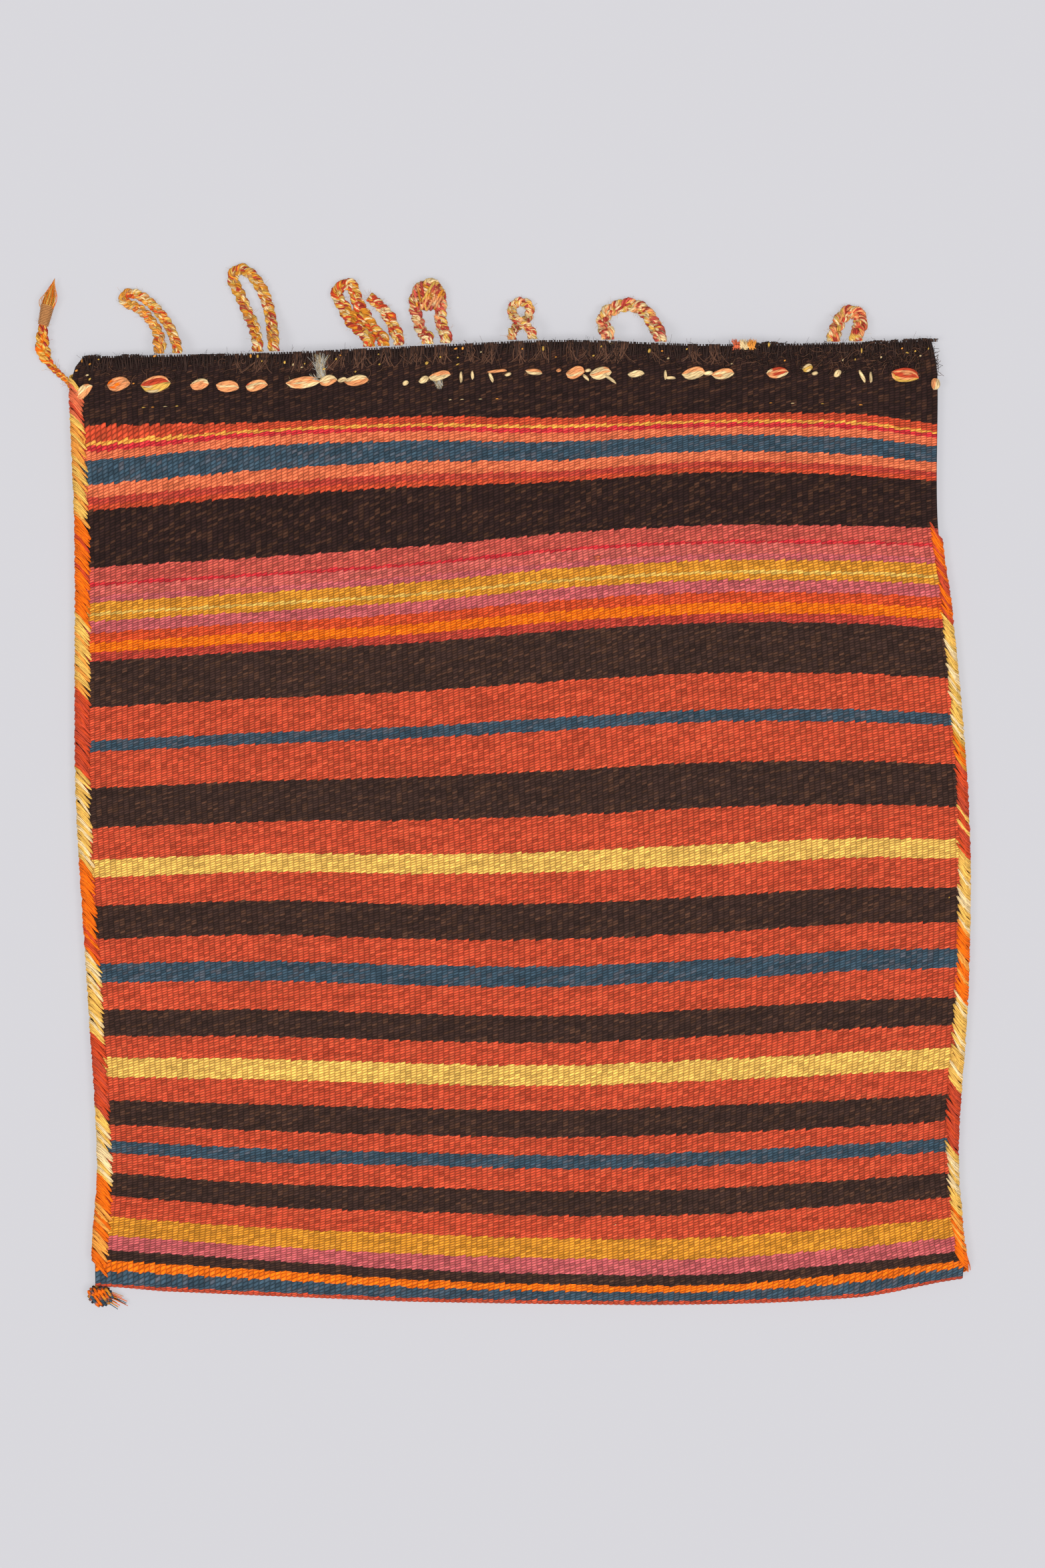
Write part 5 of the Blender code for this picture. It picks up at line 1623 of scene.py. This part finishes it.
def brush_hairs(chance):
    """Loose wool that opens out past the binding and closes again to a point."""
    start = WHIP_START + WHIP_TOWARDS * (WHIP_LENGTH - BRUSH_INSIDE)
    across = Vector((WHIP_TOWARDS.y, -WHIP_TOWARDS.x, 0.0))
    up = Vector((0.0, 0.0, 1.0))
    fibres = []
    for _ in range(BRUSH_HAIRS):
        spread = Vector((chance.gauss(0, 0.5), chance.gauss(0, 0.45), 0.0))
        length = chance.uniform(*BRUSH_LENGTH) * MM
        colour = tinted(chance.choice(BRUSH_DYES), 0.95, 1.3, chance)
        hair = []
        for step in range(7):
            share = step / 6.0
            open_to = 2.7 + 1.3 * math.sin(math.pi * min(share * 1.2, 1.0)) - 2.6 * share ** 2
            side = (spread.x * open_to + 0.6 * share) * MM
            rise = spread.y * open_to * MM
            point = start + WHIP_TOWARDS * length * share + across * side + up * rise
            point.z = max(point.z, BRUSH_ABOVE_FLOOR)
            hair.append(point)
        radii = [chance.uniform(0.2, 0.3) * MM * (1.0 - 0.1 * k) for k in range(7)]
        fibres.append(Yarn(hair, radii, colour, chance.random()))
    return fibres


def make_tail():
    """Corner tail, the thread wound round its end and the brush of loose wool."""
    chance = random.Random(31)
    route = smooth_route([on_bag(point) for point in TAIL_ROUTE], 6)
    widths = [(k / (len(TAIL_WIDTHS) - 1), width * TAIL_RADIUS) for k, width in enumerate(TAIL_WIDTHS)]
    braid = plait(route, widths, TAIL_DYES, chance, TAIL_CYCLE)
    tail = fit(sweep("corner_tail_plait", braid, wool["gold_braid"]), "gold_braid", "corner_tail")
    whipping = fit(sweep("tail_binding", binding_yarns(), wool["brown_thread"]),
                   "brown_thread", "tail_whipping")
    brush = fit(sweep("tail_brush_wool", brush_hairs(chance), wool["gold_braid"], sides=4),
                "gold_braid", "tail_brush")
    even = even_route(route, CORD_STEP)
    fit(sweep("tail_fuzz", fuzz(even, 5.0 * MM, 90, TAIL_DYES, chance), wool["gold_braid"]), "gold_braid")


# Camera, light and floor


def make_camera():
    view = bpy.data.cameras.new("camera")
    view.sensor_fit = "VERTICAL"
    view.sensor_height = SENSOR
    view.lens = SENSOR * CAMERA_ABOVE / FRAME_HEIGHT
    camera = add_object("camera", view)
    camera.location = (*FRAME_CENTRE, BAG_LEVEL + CAMERA_ABOVE)
    bpy.context.scene.camera = camera


def make_light():
    """Even studio light: a soft lamp on either side and one above, as on a copy stand."""
    world = bpy.data.worlds.new("studio")
    world.use_nodes = True
    sky = world.node_tree.nodes["Background"].inputs
    sky["Color"].default_value = (1.0, 1.0, 1.0, 1.0)
    sky["Strength"].default_value = SKY_STRENGTH
    bpy.context.scene.world = world
    for name, tilt, strength in LAMPS:
        lamp = bpy.data.lights.new(name, "SUN")
        lamp.energy = strength
        lamp.angle = math.radians(LAMP_SOFTNESS)
        add_object(name, lamp).rotation_euler = (math.radians(LAMP_TIP), math.radians(tilt), 0.0)


def make_floor():
    mesh = bpy.data.meshes.new("floor")
    corners = [(FLOOR_REACH * x, FLOOR_REACH * y, 0.0) for x, y in ((-1, -1), (1, -1), (1, 1), (-1, 1))]
    mesh.from_pydata(corners, [], [(0, 1, 2, 3)])
    mesh.materials.append(make_floor_material())
    add_object("floor", mesh)


bpy.context.scene.view_settings.view_transform = "Standard"
make_camera()
rib_tree = make_rib_tree()
yarn_tree = make_yarn_tree()
weave_group = make_weave_group()
twist_group = make_twist_group()
wool = {name: make_yarn_material(name, *look) for name, look in YARN_LOOKS.items()}
make_loops()
make_tail()
make_cloth(make_cloth_material())
make_seams()
make_front_hem()
make_back_hem()
make_lace()
make_stub()
make_tufts()
make_light()
make_floor()
